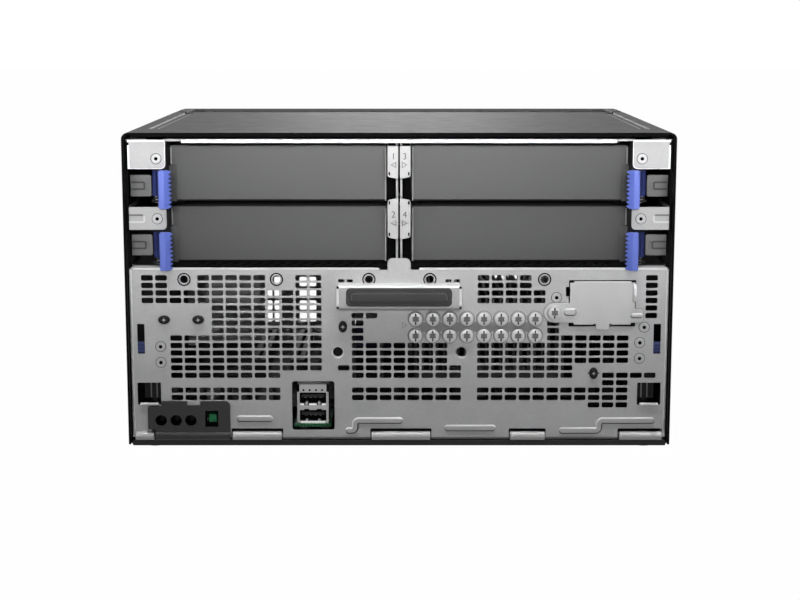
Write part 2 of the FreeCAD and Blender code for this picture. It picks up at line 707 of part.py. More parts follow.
def panel_windows():
    """Corner lists of the larger openings of the front panel."""
    gap = HATCH_GAP
    windows = [rect(*USB_WINDOW, 0.8)]
    windows.append(rect((SLEEVE_X[0] - 0.3, SLEEVE_X[1] + 0.3), (HEM_TOP + 1.6, SLEEVE_TOP + FIT_GAP)))
    windows.append(rect((HATCH_X[0] - gap, HATCH_X[1] + gap), (HATCH_Z[0] - gap, HATCH_Z[1] + gap)))
    for side in (-1, 1):
        windows.append(rect(sorted((side * SLOT_X[0], side * SLOT_X[1])), SLOT_Z))
        windows.append(rect(sorted((side * CATCH_X[0], side * CATCH_X[1])), CATCH_Z))
        half, slot_z = HANDLE_TAB_SLOT
        windows += [rect((side * x - half, side * x + half), slot_z) for x in HANDLE_TABS]
    for low, high in ROLLS[1:]:
        windows.append(rect((low, min(high, CHASSIS_X - 1.4)), (HEM_TOP + SHEET, ROLL_WINDOW_TOP)))
    return windows


def panel_beads():
    """Straight and stepped stiffening beads along the foot of the front panel."""
    outlines = [rect((low, high), (z, z + BEAD_WIDE), BEAD_ROUND) for low, high, z in STRAIGHT_BEADS]
    half = BEAD_WIDE / 2
    low_z, high_z = STEPPED_BEAD_LEVELS
    for start, step, end in STEPPED_BEADS:
        left, right = step - half, step + half
        corners = [(start, low_z), (right, low_z), (right, high_z), (end, high_z)]
        corners += [(end, high_z + BEAD_WIDE), (left, high_z + BEAD_WIDE)]
        corners += [(left, low_z + BEAD_WIDE), (start, low_z + BEAD_WIDE)]
        outlines.append([(x, z, BEAD_ROUND) for x, z in corners])
    beads = []
    for corners in outlines:
        bead = front_sheet(corners, (PANEL_Y - BEAD_HIGH, PANEL_Y))
        rim = [e for e in bead.Edges if e.BoundBox.YMax < PANEL_Y - BEAD_HIGH + 0.01]
        beads.append(bead.makeChamfer(BEAD_SLOPE, rim))
    return beads


def front_panel():
    """Perforated front sheet with its returns, beads, rolled edge tabs and centre tongue."""
    tongue_x, tongue_z = TONGUE
    edge = [(-CHASSIS_X, HEM_TOP), (CHASSIS_X, HEM_TOP), (CHASSIS_X, PANEL_TOP), (tongue_x, PANEL_TOP)]
    edge += [(tongue_x, tongue_z, TONGUE_ROUND), (-tongue_x, tongue_z, TONGUE_ROUND)]
    edge += [(-tongue_x, PANEL_TOP), (-CHASSIS_X, PANEL_TOP)]
    wires = [outline(edge, facing(PANEL_Y))]
    wires += [outline(hole, facing(PANEL_Y)) for hole in vent_slots() + panel_windows()]
    wires += [ring(x, z, PANEL_Y, RING_RADIUS) for x, z in RING_HOLES]
    wires += [ring(x, z, PANEL_Y, HOLE_RADIUS) for x, z in PLAIN_HOLES]
    pieces = [prism(wires, vec(0, SHEET, 0))]
    depth = (PANEL_Y, PANEL_Y + RETURN_DEEP)
    foot = (HEM_TOP, HEM_TOP + SHEET)
    pieces.append(box((-WALL_X, WALL_X), depth, (PANEL_TOP - SHEET, PANEL_TOP)))
    pieces += [box(span, depth, foot) for span in ((-WALL_X, SLEEVE_X[0] - 1), (SLEEVE_X[1] + 1, WALL_X))]
    slits = []
    inset, forward, high = CATCH_LIP
    for side in (-1, 1):
        span = sorted((side * CHASSIS_X, side * WALL_X))
        pieces.append(box(span, (PANEL_Y, TAB_Y - FIT_GAP), (HEM_TOP, PANEL_TOP)))
        lip = sorted((side * (CATCH_X[0] + inset), side * (CATCH_X[1] - inset)))
        pieces.append(box(lip, (PANEL_Y - forward, PANEL_BACK), (CATCH_Z[0], CATCH_Z[0] + high)))
        slit = sorted((side * tongue_x, side * (tongue_x + TONGUE_SLIT[0])))
        slit_y, slit_z = (PANEL_Y - 1, PANEL_Y + TONGUE_SLIT[2]), (PANEL_TOP - TONGUE_SLIT[1], PANEL_TOP + 1)
        slits.append(box(slit, slit_y, slit_z))
    pieces += panel_beads() + [rolled_tab(low, high) for low, high in ROLLS]
    return joined(pieces).cut(slits)


def rolled_tab(low, high):
    """Half-round tab rolled forward out of the lower edge."""
    centre = vec(low + ROLL_GAP, PANEL_Y, HEM_TOP + ROLL_RADIUS)
    length = high - low - 2 * ROLL_GAP
    roll = rod(centre, vec(1, 0, 0), ROLL_RADIUS, length)
    roll = roll.cut(rod(centre, vec(1, 0, 0), ROLL_RADIUS - SHEET, length))
    keep = (centre.y - ROLL_RADIUS, centre.y)
    return roll.common(box((low, high), keep, (HEM_TOP, HEM_TOP + 2 * ROLL_RADIUS)))


def rivet_heads(places, y):
    """Low, flat rivet heads."""
    return [Part.makeCone(*RIVET_RADII, RIVET_HIGH, vec(x, y, z), vec(0, -1, 0)) for x, z in places]


def rivets():
    """Rivets of the front panel, and the four that hold the cage walls to the side brackets."""
    brackets = [(side * BRACKET_RIVETS[0], z) for side in (-1, 1) for z in BRACKET_RIVETS[1]]
    return group(rivet_heads(list(PANEL_RIVETS) + brackets, PANEL_Y))


def screw_heads(places, y, radius, height):
    """Slightly tapered screw heads seated on a front plane."""
    tip = SCREW_TAPER * radius
    return [Part.makeCone(radius, tip, height, vec(x, y, z), vec(0, -1, 0)) for x, z in places]


def drive_screws():
    """Two rows of spare drive screws kept on the front panel, and the same screw in the hatch."""
    places = []
    for i in range(SPARE_SCREW_COUNT[0]):
        for j in range(SPARE_SCREW_COUNT[1]):
            x = SPARE_SCREW_FIRST[0] + i * SPARE_SCREW_STEP[0]
            places.append((x, SPARE_SCREW_FIRST[1] - j * SPARE_SCREW_STEP[1]))
    hatch = screw_heads([HATCH_SCREW], PANEL_Y - SHEET, SCREW_HEAD, SCREW_HIGH)
    return group(screw_heads(places, PANEL_Y, SCREW_HEAD, SCREW_HIGH) + hatch)


# Handle, hatch and bezel catches

def handle_bracket():
    """Folded pan that stands off the front panel, with two cheeks between relieved corners."""
    front, back = PANEL_Y - HANDLE_OUT, PANEL_Y
    z0, z1 = HANDLE_Z
    inner = front + SHEET
    profile = [(back, z0), (front, z0, HANDLE_BEND), (front, z1, HANDLE_BEND), (back, z1)]
    profile += [(back, z1 - SHEET), (inner, z1 - SHEET), (inner, z0 + SHEET), (back, z0 + SHEET)]
    flat_x = HANDLE_X - SHEET
    pan = prism([outline(profile, sideways(-flat_x))], vec(2 * flat_x, 0, 0))
    plan = [(-HANDLE_X, back), (-HANDLE_X, front, HANDLE_BEND), (-flat_x + SHEET, front)]
    plan += [(-flat_x + SHEET, inner), (-flat_x, inner), (-flat_x, back)]
    cheek_high = z1 - z0 - 2 * HANDLE_RELIEF
    cheek = prism([outline(plan, level(z0 + HANDLE_RELIEF))], vec(0, 0, cheek_high))
    return joined([pan, cheek, mirrored(cheek)])


def handle_grip():
    """Soft dark pad with a raised middle."""
    y = PANEL_Y - HANDLE_OUT
    base = front_sheet(rect((-GRIP_X, GRIP_X), GRIP_Z, 2.0), (y - GRIP_BASE, y))
    side, end = GRIP_RIM
    middle = rect((-GRIP_X + side, GRIP_X - side), (GRIP_Z[0] + end, GRIP_Z[1] - end), 1.6)
    raised = front_sheet(middle, (y - GRIP_OUT, y - GRIP_BASE))
    rim = [e for e in raised.Edges if e.BoundBox.YMax < y - GRIP_OUT + 0.01]
    return joined([base, raised.makeChamfer(0.5, rim)])


def hatch_cover():
    """Plate in its window, held by a screw lug, a side lug and a foot tab, with a bent finger tab."""
    y = (PANEL_Y - SHEET, PANEL_Y)
    pieces = [front_sheet(rect(HATCH_X, HATCH_Z), y)]
    (left, inner), (low, high), bend = HATCH_LUG
    pieces.append(front_sheet([(left, low, bend), (inner, low), (inner, high), (left, high, bend)], y))
    (inner, right), (low, high), bend = HATCH_SIDE_LUG
    pieces.append(front_sheet([(inner, low), (right, low, bend), (right, high, bend), (inner, high)], y))
    (left, right), (low, high), bend = HATCH_FOOT
    pieces.append(front_sheet([(left, low, bend), (right, low, bend), (right, high), (left, high)], y))
    for bead_x, bead_z in HATCH_BEADS:
        pieces.append(front_sheet(rect(bead_x, bead_z, 0.9), (y[0] - HATCH_BEAD_HIGH, y[0])))
    forward, finger_z = HATCH_FINGER
    pieces.append(box((HATCH_X[1] - SHEET, HATCH_X[1]), (y[0] - forward, y[0]), finger_z))
    wide, high = HATCH_RELIEF
    left, right = (HATCH_X[0], HATCH_X[0] + wide), (HATCH_X[1] - wide, HATCH_X[1])
    foot, top = (HATCH_Z[0], HATCH_Z[0] + high), (HATCH_Z[1] - high / 2, HATCH_Z[1])
    reliefs = [(left, foot), (right, foot), (left, top), (right, top)]
    tab_left, tab_right = HATCH_FOOT[0]
    reliefs += [((tab_left - wide, tab_left), foot), ((tab_right, tab_right + wide), foot)]
    return joined(pieces).cut([box(x, y, z) for x, z in reliefs])


def release_slider():
    """Left-hand blue thumb piece: a plate that slides on the back of the panel, ribbed inside its slot."""
    back = PANEL_BACK + FIT_GAP
    z = (SLOT_Z[0] + 0.4, SLOT_Z[0] + 0.4 + SLIDER_HIGH)
    plate = box((-SLOT_X[1] - SLIDER_WIDER, -SLOT_X[0] + SLIDER_WIDER), (back, back + SLIDER_THICK), z)
    rib_x = (-SLOT_X[1] + 0.3, -SLOT_X[0] - 0.3)
    step = SLIDER_HIGH / SLIDER_RIBS
    ribs = []
    for i in range(SLIDER_RIBS):
        low = z[0] + (i + 0.25) * step
        ribs.append(box(rib_x, (back - SHEET / 2, back), (low, low + step / 2)))
    return joined([plate] + ribs)


def lock_bar():
    """Left-hand steel bar behind the slider, with the round post that holds a front bezel."""
    front = PANEL_BACK + FIT_GAP + SLIDER_THICK
    bar_y = (front, front + SHEET)
    top = SLOT_Z[0] + 0.4 + SLIDER_HIGH
    outer, inner = -BAR_X[1], -BAR_X[0]
    foot_x, foot_z = (-BAR_FOOT_X[1], -BAR_FOOT_X[0]), BAR_FOOT_Z
    bar = [(outer, top), (inner, top), (inner, BAR_ELBOW[1]), (foot_x[1], foot_z[1]), (foot_x[1], foot_z[0])]
    bar += [(foot_x[0], foot_z[0]), (foot_x[0], foot_z[1]), (outer, BAR_ELBOW[0])]
    post = rod(vec(-POST_X, front + POST_RADIUS, POST_Z[0]), vec(0, 0, 1), POST_RADIUS, POST_Z[1] - POST_Z[0])
    return joined([front_sheet(bar, bar_y), post])


# Status housing, power button and front data port

def status_housing():
    """Dark moulding with three lamp holes, a button window, a rolled foot and a sleeve behind the panel."""
    left, right = STATUS_X
    ear_x, ear_low, ear_high = STATUS_EAR
    (notch_left, notch_right), notch_z = STATUS_NOTCH
    foot = HEM_TOP + FIT_GAP
    edge = [(left, ear_low), (ear_x, ear_low), (ear_x, foot), (right, foot), (right, STATUS_TOP, 2.4)]
    edge += [(notch_right, STATUS_TOP), (notch_right, notch_z)]
    edge += [(notch_left, notch_z), (notch_left, STATUS_TOP)]
    edge += [(STATUS_STEP, STATUS_TOP), (STATUS_STEP, ear_high), (left, ear_high, 0.8)]
    y = (Y_FRONT, PANEL_Y)
    wires = [outline(edge, facing(y[0]))]
    wires += [ring(x, LAMP_Z, y[0], LAMP_RADIUS) for x in LAMP_X]
    wires.append(outline(rect(*BUTTON_WINDOW), facing(y[0])))
    face = prism(wires, vec(0, y[1] - y[0], 0))
    roll_at = vec(ear_x, y[0] + 1.0, foot + STATUS_ROLL)
    roll = rod(roll_at, vec(1, 0, 0), STATUS_ROLL, right - ear_x)
    roll = roll.common(box((ear_x, right), (y[0] - STATUS_ROLL, y[1]), (foot, foot + 2 * STATUS_ROLL)))
    sleeve_z = (HEM_TOP + 1.8, SLEEVE_TOP)
    inner_x, inner_z = ((span[0] + SLEEVE_WALL, span[1] - SLEEVE_WALL) for span in (SLEEVE_X, sleeve_z))
    sleeve = front_sheet(rect(SLEEVE_X, sleeve_z), (PANEL_Y, PANEL_Y + SLEEVE_DEEP), [rect(inner_x, inner_z)])
    return joined([face, roll, sleeve])


def light_pipes():
    """Three clear rods from deep in the lamp holes back to the switch board."""
    start = PANEL_Y + 1.5
    length = SWITCH_BOARD_Y - start
    return group([rod(vec(x, start, LAMP_Z), vec(0, 1, 0), LAMP_RADIUS - 0.15, length) for x in LAMP_X])


def power_button():
    """Green push cap."""
    y = (Y_FRONT + 0.8, PANEL_Y + 2.8)
    cap = [(BUTTON_X[0], BUTTON_Z[0], 0.3), (BUTTON_X[1], BUTTON_Z[0], 0.3), (BUTTON_X[1], BUTTON_Z[1], 0.9)]
    cap.append((BUTTON_X[0], BUTTON_Z[1], 0.3))
    return front_sheet(cap, y)


def switch_board():
    """Small circuit board with the switch body behind the button."""
    inset = SLEEVE_WALL + FIT_GAP
    span = (SLEEVE_X[0] + inset, SLEEVE_X[1] - inset)
    board = box(span, (SWITCH_BOARD_Y, SWITCH_BOARD_Y + 1.4), (8.0, 18.8))
    switch = box((-90.6, -85.0), (PANEL_Y + 3.6, SWITCH_BOARD_Y), (11.6, 18.4))
    return joined([board, switch])


def usb_shell(x, front, base, deep_way):
    """Metal shell of a double data port; deep_way is +1 where the port opens to the front."""
    half, high = USB_SHELL[0] / 2, USB_SHELL[1]
    span = sorted((front, front + deep_way * USB_DEEP))
    shell = box((x - half, x + half), span, (base, base + high))
    mouth = sorted((front - deep_way, front + deep_way * USB_MOUTH_DEEP))
    for rise in USB_MOUTHS:
        hollow = (base + rise, base + rise + USB_CAVITY[1])
        shell = shell.cut(box((x - USB_CAVITY[0] / 2, x + USB_CAVITY[0] / 2), mouth, hollow))
    return shell


def usb_tongues(x, front, base, deep_way):
    """Contact tongues of a double data port."""
    span = sorted((front + deep_way, front + deep_way * USB_MOUTH_DEEP))
    wide, low, high = USB_TONGUE
    across = (x - wide / 2, x + wide / 2)
    return [box(across, span, (base + rise + low, base + rise + high)) for rise in USB_MOUTHS]


def usb_board():
    """Small board that carries the front data port."""
    return box(USB_BOARD_X, (USB_FRONT_Y - 1.5, USB_FRONT_Y + 30.0), (USB_BASE - USB_BOARD_THICK, USB_BASE))


# System board and inner pieces

def system_board():
    """Main circuit board."""
    return box((-BOARD_X, BOARD_X), BOARD_Y, (BOARD_TOP - BOARD_THICK, BOARD_TOP))


def standoffs():
    """Posts between the base and the boards."""
    tall = BOARD_TOP - BOARD_THICK - BASE_TOP
    posts = []
    for x in STANDOFF_X:
        for y in STANDOFF_Y:
            posts.append(hex_post(x, y, tall))
    short = USB_BASE - USB_BOARD_THICK - BASE_TOP
    posts += [hex_post(x, USB_FRONT_Y + 22.0, short) for x in PORT_STANDOFF_X]
    return group(posts)


def hex_post(x, y, tall):
    """Hexagonal standoff on the base."""
    turns = [math.radians(60 * i) for i in range(6)]
    corners = [(x + STANDOFF_RADIUS * math.cos(t), y + STANDOFF_RADIUS * math.sin(t)) for t in turns]
    return prism([outline(corners, level(BASE_TOP))], vec(0, 0, tall))


def processor_socket():
    """Processor under its cooler."""
    x, y = sum(SINK_X) / 2, sum(SINK_Y) / 2
    span = (BOARD_TOP, BOARD_TOP + CHIP_HIGH)
    return box((x - CHIP_HALF, x + CHIP_HALF), (y - CHIP_HALF, y + CHIP_HALF), span)


def heatsink():
    """Cooler with straight fins, cut from one comb profile."""
    base = BOARD_TOP + CHIP_HIGH
    root = base + SINK_BASE
    pitch = (SINK_X[1] - SINK_X[0] - FIN_THICK) / (FIN_COUNT - 1)
    comb = [(SINK_X[0], base), (SINK_X[1], base)]
    for i in reversed(range(FIN_COUNT)):
        left = SINK_X[0] + i * pitch
        comb += [(left + FIN_THICK, SINK_TOP), (left, SINK_TOP)]
        if i:
            comb += [(left, root), (left - pitch + FIN_THICK, root)]
    return prism([outline(comb, facing(SINK_Y[0]))], vec(0, SINK_Y[1] - SINK_Y[0], 0))


def memory_sockets():
    """Two memory sockets beside the cooler."""
    half, top = MEMORY_SOCKET[0] / 2, BOARD_TOP + MEMORY_SOCKET[1]
    return [box((x - half, x + half), MEMORY_Y, (BOARD_TOP, top)) for x in MEMORY_X]


def memory_modules():
    """Two upright memory modules."""
    thick, high, inset = MEMORY_MODULE
    foot = BOARD_TOP + MEMORY_SOCKET[1]
    span = (MEMORY_Y[0] + inset, MEMORY_Y[1] - inset)
    return group([box((x - thick / 2, x + thick / 2), span, (foot, foot + high)) for x in MEMORY_X])


def expansion_sockets():
    """Two card sockets in line with the rear slots."""
    half, top = CARD_SOCKET[0] / 2, BOARD_TOP + CARD_SOCKET[1]
    groove, deep, inset = CARD_GROOVE
    groove_y = (CARD_SOCKET_Y[0] + inset, CARD_SOCKET_Y[1] - inset)
    sockets = []
    for x in SLOT_CENTRES:
        socket = box((x - half, x + half), CARD_SOCKET_Y, (BOARD_TOP, top))
        sockets.append(socket.cut(box((x - groove / 2, x + groove / 2), groove_y, (top - deep, top + 1))))
    return sockets


def coin_cell():
    """Clock battery in its holder."""
    holder = rod(vec(*CELL_AT, BOARD_TOP), vec(0, 0, 1), *CELL_HOLDER)
    return joined([holder, rod(vec(*CELL_AT, BOARD_TOP + CELL_HOLDER[1]), vec(0, 0, 1), *CELL_SIZE)])


def drive_backplane():
    """Upright board behind the bays, with air openings."""
    edge = rect((-BACKPLANE_X, BACKPLANE_X), (CAGE_FLOOR + 0.3, CAGE_TOP - 0.5))
    half = BACKPLANE_VENT[0] / 2
    windows = []
    for x in BACKPLANE_VENTS:
        for floor in BAY_FLOORS:
            span = (floor + 5.0, floor + 5.0 + BACKPLANE_VENT[1])
            windows.append(rect((x - half, x + half), span, 2.0))
    return front_sheet(edge, (CAGE_BACK, CAGE_BACK + BOARD_THICK), windows)


def drive_sockets():
    """Four drive connectors on the backplane."""
    wide, deep, (low, high) = DRIVE_SOCKET
    sockets = []
    for side in (-1, 1):
        for floor in BAY_FLOORS:
            x = side * (DRIVE_IN_X + DRIVE_W / 2)
            span = (CAGE_BACK - deep, CAGE_BACK)
            sockets.append(box((x - wide / 2, x + wide / 2), span, (floor + low, floor + high)))
    return group(sockets)


# Fan

def fan_frame():
    """Square frame with a round bore, corner holes and a strutted motor mount in front."""
    half = FAN_SIZE / 2
    y = (BACK_IN - FAN_DEEP, BACK_IN)
    square = rect((FAN_X - half, FAN_X + half), (FAN_Z - half, FAN_Z + half), 4.0)
    wires = [outline(square, facing(y[0])), ring(FAN_X, FAN_Z, y[0], FAN_BORE)]
    frame = prism(wires, vec(0, FAN_DEEP, 0))
    wide, thick = STRUT
    mount = rod(vec(FAN_X, y[0], FAN_Z), vec(0, 1, 0), HUB_RADIUS, thick)
    struts = []
    for i in range(4):
        across = (FAN_Z - wide / 2, FAN_Z + wide / 2)
        strut = box((FAN_X, FAN_X + FAN_BORE + 0.5), (y[0], y[0] + thick), across)
        strut.rotate(vec(FAN_X, 0, FAN_Z), vec(0, 1, 0), 45 + 90 * i)
        struts.append(strut)
    bore = rod(vec(FAN_X, y[0] - 1, FAN_Z), vec(0, 1, 0), SHAFT_RADIUS + PIN_PLAY, 5.0)
    return joined([frame, mount] + struts).cut(bore)


def fan_rotor():
    """Hub, shaft and twisted blades."""
    start = BACK_IN - FAN_DEEP
    hub = rod(vec(FAN_X, start + HUB_SPAN[0], FAN_Z), vec(0, 1, 0), HUB_RADIUS, HUB_SPAN[1] - HUB_SPAN[0])
    shaft = rod(vec(FAN_X, start, FAN_Z), vec(0, 1, 0), SHAFT_RADIUS, 4.0)
    centre_y = start + sum(HUB_SPAN) / 2
    pieces = [hub, shaft]
    for i in range(BLADE_COUNT):
        sections = []
        for radius, pitch in zip((HUB_RADIUS - 1.5, FAN_BORE - 2.4), BLADE_PITCH):
            chord = radius * 0.30 + 9.0
            section = Part.makePolygon([vec(a, b, 0) for a, b in blade_section(chord, BLADE_THICK)])
            section.rotate(vec(0, 0, 0), vec(0, 0, 1), pitch)
            section.translate(vec(0, 0, radius))
            sections.append(section)
        blade = Part.makeLoft(sections, True, True)
        blade.rotate(vec(0, 0, 0), vec(0, 1, 0), 360.0 / BLADE_COUNT * i)
        blade.translate(vec(FAN_X, centre_y, FAN_Z))
        pieces.append(blade)
    return joined(pieces)


def fan_screws():
    """Four screws through the rear panel into the corners of the fan."""
    reach = FAN_SIZE / 2 - FAN_SCREW_INSET
    places = [(FAN_X + a * reach, FAN_Z + b * reach) for a in (-1, 1) for b in (-1, 1)]
    heads = screw_heads(places, 0, *FAN_SCREW)
    for head in heads:
        head.rotate(vec(0, 0, 0), vec(0, 0, 1), 180)
        head.translate(vec(2 * FAN_X, BACK_OUT, 0))
    return group(heads)


def blade_section(chord, thick):
    """Closed six-sided cambered section of a blade."""
    half, camber = chord / 2, chord * 0.08
    return [(-half, 0), (0, camber), (half, 0), (half - 0.2, thick * 0.6), (0, camber + thick),
            (-half + 0.2, thick * 0.6), (-half, 0)]


# Rear side

def rear_panel():
    """Rear sheet with the fan grille, drive vents, card slots and a gap for the port plate."""
    left, right = IO_X
    edge = [(-CHASSIS_X, HEM_TOP), (left, HEM_TOP), (left, IO_TOP), (right, IO_TOP), (right, HEM_TOP)]
    edge += [(CHASSIS_X, HEM_TOP), (CHASSIS_X, CHASSIS_TOP), (-CHASSIS_X, CHASSIS_TOP)]
    holes = []
    half, bridge = GRILLE_SLOT / 2, GRILLE_BRIDGE / 2
    for i in range(-6, 7):
        offset = GRILLE_STEP * i
        reach = math.sqrt(FAN_BORE ** 2 - (abs(offset) + half) ** 2) - 0.5
        for low, high in ((FAN_Z - reach, FAN_Z - bridge), (FAN_Z + bridge, FAN_Z + reach)):
            holes.append(rect((FAN_X + offset - half, FAN_X + offset + half), (low, high)))
    columns, rows = REAR_VENT_COUNT
    for i in range(columns):
        for j in range(rows):
            x = REAR_VENT_FIRST[0] + REAR_VENT_STEP[0] * i
            z = REAR_VENT_FIRST[1] + REAR_VENT_STEP[1] * j
            beside_thumb_screw = i == 0 and j == rows - 1
            if not beside_thumb_screw:
                holes.append(rect((x, x + REAR_VENT[0]), (z, z + REAR_VENT[1])))
    half = CARD_WINDOW[0] / 2
    holes += [rect((x - half, x + half), CARD_WINDOW[1]) for x in SLOT_CENTRES]
    wires = [outline(edge, facing(BACK_IN))] + [outline(hole, facing(BACK_IN)) for hole in holes]
    for side in (-1, 1):
        wires.append(ring(side * THUMB_AT[0], THUMB_AT[1], BACK_IN, SHAFT_RADIUS + 0.6))
    return prism(wires, vec(0, SHEET, 0))


def slot_covers():
    """Two vented covers behind the card slots."""
    wide, top, thick = CARD_COVER
    inset = (CARD_VENT_STEP[0] + CARD_VENT[0]) / 2
    covers = []
    for x in SLOT_CENTRES:
        edge = rect((x - wide / 2, x + wide / 2), (BOARD_TOP + 0.4, top))
        holes = []
        for i in range(CARD_VENT_ROWS):
            z = CARD_VENT_FIRST + CARD_VENT_STEP[1] * i
            for low in (x - inset, x - inset + CARD_VENT_STEP[0]):
                holes.append(rect((low, low + CARD_VENT[0]), (z, z + CARD_VENT[1])))
        covers.append(front_sheet(edge, (BACK_IN - thick, BACK_IN), holes))
    return group(covers)


# Rear ports

def port_plate():
    """Comb-shaped plate that closes the gaps between the rear ports."""
    tops = [(DISPLAY_X, DISPLAY_SIZE[0] + 0.4, BOARD_TOP + DISPLAY_SIZE[1] + FIT_GAP)]
    tops += [(x, NET_SIZE[0], BOARD_TOP + NET_SIZE[1]) for x in NET_X]
    tops += [(x, USB_SHELL[0], BOARD_TOP + USB_SHELL[1]) for x in REAR_USB_X]
    tops += [(INLET_X, INLET_SIZE[0], BOARD_TOP + INLET_SIZE[1])]
    edge = [(IO_X[0] + FIT_GAP, HEM_TOP)]
    for x, wide, top in tops:
        half = wide / 2 + 0.3
        edge += [(x - half, HEM_TOP), (x - half, top + 0.3), (x + half, top + 0.3), (x + half, HEM_TOP)]
    edge += [(IO_X[1] - FIT_GAP, HEM_TOP), (IO_X[1] - FIT_GAP, IO_TOP - FIT_GAP)]
    edge += [(IO_X[0] + FIT_GAP, IO_TOP - FIT_GAP)]
    return front_sheet(edge, (BACK_IN, BACK_OUT))


def network_jack(x):
    """Network socket, open to the rear."""
    half = NET_SIZE[0] / 2
    block = box((x - half, x + half), (PORT_OUT - 21.0, PORT_OUT), (BOARD_TOP, BOARD_TOP + NET_SIZE[1]))
    mouth = (PORT_OUT - 13.0, PORT_OUT + 1.0)
    for wide, (low, high) in (NET_MOUTH, NET_CLIP):
        block = block.cut(box((x - wide / 2, x + wide / 2), mouth, (BOARD_TOP + low, BOARD_TOP + high)))
    return block


def display_socket():
    """Display connector: a flanged plug face of trapezium section with two jack posts."""
    wide, high = DISPLAY_SIZE
    x, z = DISPLAY_X, BOARD_TOP + high / 2
    flange = box((x - wide / 2, x + wide / 2), (BACK_IN - 14.0, BACK_OUT), (BOARD_TOP, BOARD_TOP + high))
    (narrow, broad), half, out = DISPLAY_FACE
    foot = [(x - narrow, z - half, 1.5), (x + narrow, z - half, 1.5)]
    head = [(x + broad, z + half, 1.5), (x - broad, z + half, 1.5)]
    shell = front_sheet(foot + head, (BACK_OUT, BACK_OUT + out))
    apart, radius, long = DISPLAY_POST
    posts = [rod(vec(x + d, BACK_OUT, z), vec(0, 1, 0), radius, long) for d in (-apart, apart)]
    return joined([flange, shell] + posts)


def power_inlet():
    """Round power socket with its centre pin."""
    wide, high = INLET_SIZE
    x, z = INLET_X, BOARD_TOP + high / 2
    block = box((x - wide / 2, x + wide / 2), (PORT_OUT - 18.0, PORT_OUT), (BOARD_TOP, BOARD_TOP + high))
    bottom = vec(x, PORT_OUT - INLET_DEEP, z)
    block = block.cut(rod(bottom, vec(0, 1, 0), INLET_BORE, INLET_DEEP + 1))
    return joined([block, rod(bottom, vec(0, 1, 0), *INLET_PIN)])


# Cables inside

def tube(route):
    """Round cable along straight runs joined by the largest tangent arcs that fit."""
    points = [vec(*p) for p in route]
    edges, radii = [], []
    start = points[0]
    for before, corner, after in zip(points, points[1:], points[2:]):
        back, ahead = before - corner, after - corner
        reach = 0.45 * min(back.Length, ahead.Length)
        back.normalize()
        ahead.normalize()
        half = back.getAngle(ahead) / 2
        radius = reach * math.tan(half)
        radii.append(round(radius, 1))
        middle = corner + (back + ahead).normalize() * (radius / math.sin(half) - radius)
        first, last = corner + back * reach, corner + ahead * reach
        edges.append(Part.LineSegment(start, first).toShape())
        edges.append(Part.Arc(first, middle, last).toShape())
        start = last
    edges.append(Part.LineSegment(start, points[-1]).toShape())
    path = Part.Wire(edges)
    section = Part.Wire(Part.Circle(points[0], points[1] - points[0], CABLE_RADIUS).toShape())
    pipe = path.makePipeShell([section], True, False)
    fill = pipe.Volume / (path.Length * math.pi * CABLE_RADIUS ** 2)
    print("cable length", round(path.Length, 1), "fill", round(fill, 3), "radii", radii)
    return pipe


def drive_cables():
    """Two cables from the backplane to the system board."""
    return group([tube(route) for route in CABLE_ROUTES])


def build():
    """All pieces by node name."""
    left_wall, left_cage, left_divider = chassis_wall(), cage_wall(), cage_divider()
    slider, bar = release_slider(), lock_bar()
    nodes = {
        "outer_cover": outer_cover(), "thumb_screws": thumb_screws(), "base_tray": base_tray(),
        "rubber_feet": rubber_feet(),
        "chassis_left_wall": left_wall, "chassis_right_wall": mirrored(left_wall),
        "cage_left_wall": left_cage, "cage_right_wall": mirrored(left_cage),
        "cage_left_divider": left_divider, "cage_right_divider": mirrored(left_divider),
        "cage_top": cage_top(), "cage_floor": cage_floor(),
        "bay_rails": bay_rails(), "latch_pins": latch_pins(), "latch_springs": latch_springs(),
        "rivets": rivets(), "front_panel": front_panel(),
        "panel_screws": group(screw_heads(PANEL_SCREWS, PANEL_Y, *PANEL_SCREW)),
        "drive_screws": drive_screws(),
        "handle_bracket": handle_bracket(), "handle_grip": handle_grip(), "hatch_cover": hatch_cover(),
        "release_slider_left": slider, "release_slider_right": mirrored(slider),
        "lock_bar_left": bar, "lock_bar_right": mirrored(bar), "status_housing": status_housing(),
        "light_pipes": light_pipes(), "power_button": power_button(), "switch_board": switch_board(),
        "usb_shells": group([usb_shell(*port) for port in USB_PORTS]),
        "usb_tongues": group([tongue for port in USB_PORTS for tongue in usb_tongues(*port)]),
        "front_usb_board": usb_board(),
        "system_board": system_board(), "board_standoffs": standoffs(), "processor": processor_socket(),
        "heatsink": heatsink(), "board_sockets": group(memory_sockets() + expansion_sockets()),
        "memory_modules": memory_modules(), "clock_battery": coin_cell(),
        "drive_backplane": drive_backplane(), "drive_sockets": drive_sockets(),
        "drive_cables": drive_cables(),
        "fan_frame": fan_frame(), "fan_rotor": fan_rotor(), "fan_screws": fan_screws(),
        "rear_panel": rear_panel(), "slot_covers": slot_covers(), "port_plate": port_plate(),
        "network_jacks": group([network_jack(x) for x in NET_X]), "display_socket": display_socket(),
        "power_inlet": power_inlet(),
    }
    for number, floor in enumerate(BAY_FLOORS, 1):
        blank, latch = drive_blank(floor), drive_latch(floor)
        twin = number + len(BAY_FLOORS)
        nodes[f"drive_blank_{number}"], nodes[f"drive_blank_{twin}"] = blank, mirrored(blank)
        nodes[f"drive_latch_{number}"], nodes[f"drive_latch_{twin}"] = latch, mirrored(latch)
    return nodes


os.makedirs("parts", exist_ok=True)
for name, shape in build().items():
    if not shape.isValid():
        print("not valid:", name)
    shape.exportStep(f"parts/{name}.step")
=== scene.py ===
import json
import logging
import math
from dataclasses import dataclass
from enum import Enum
from typing import Any, Iterable, Sequence

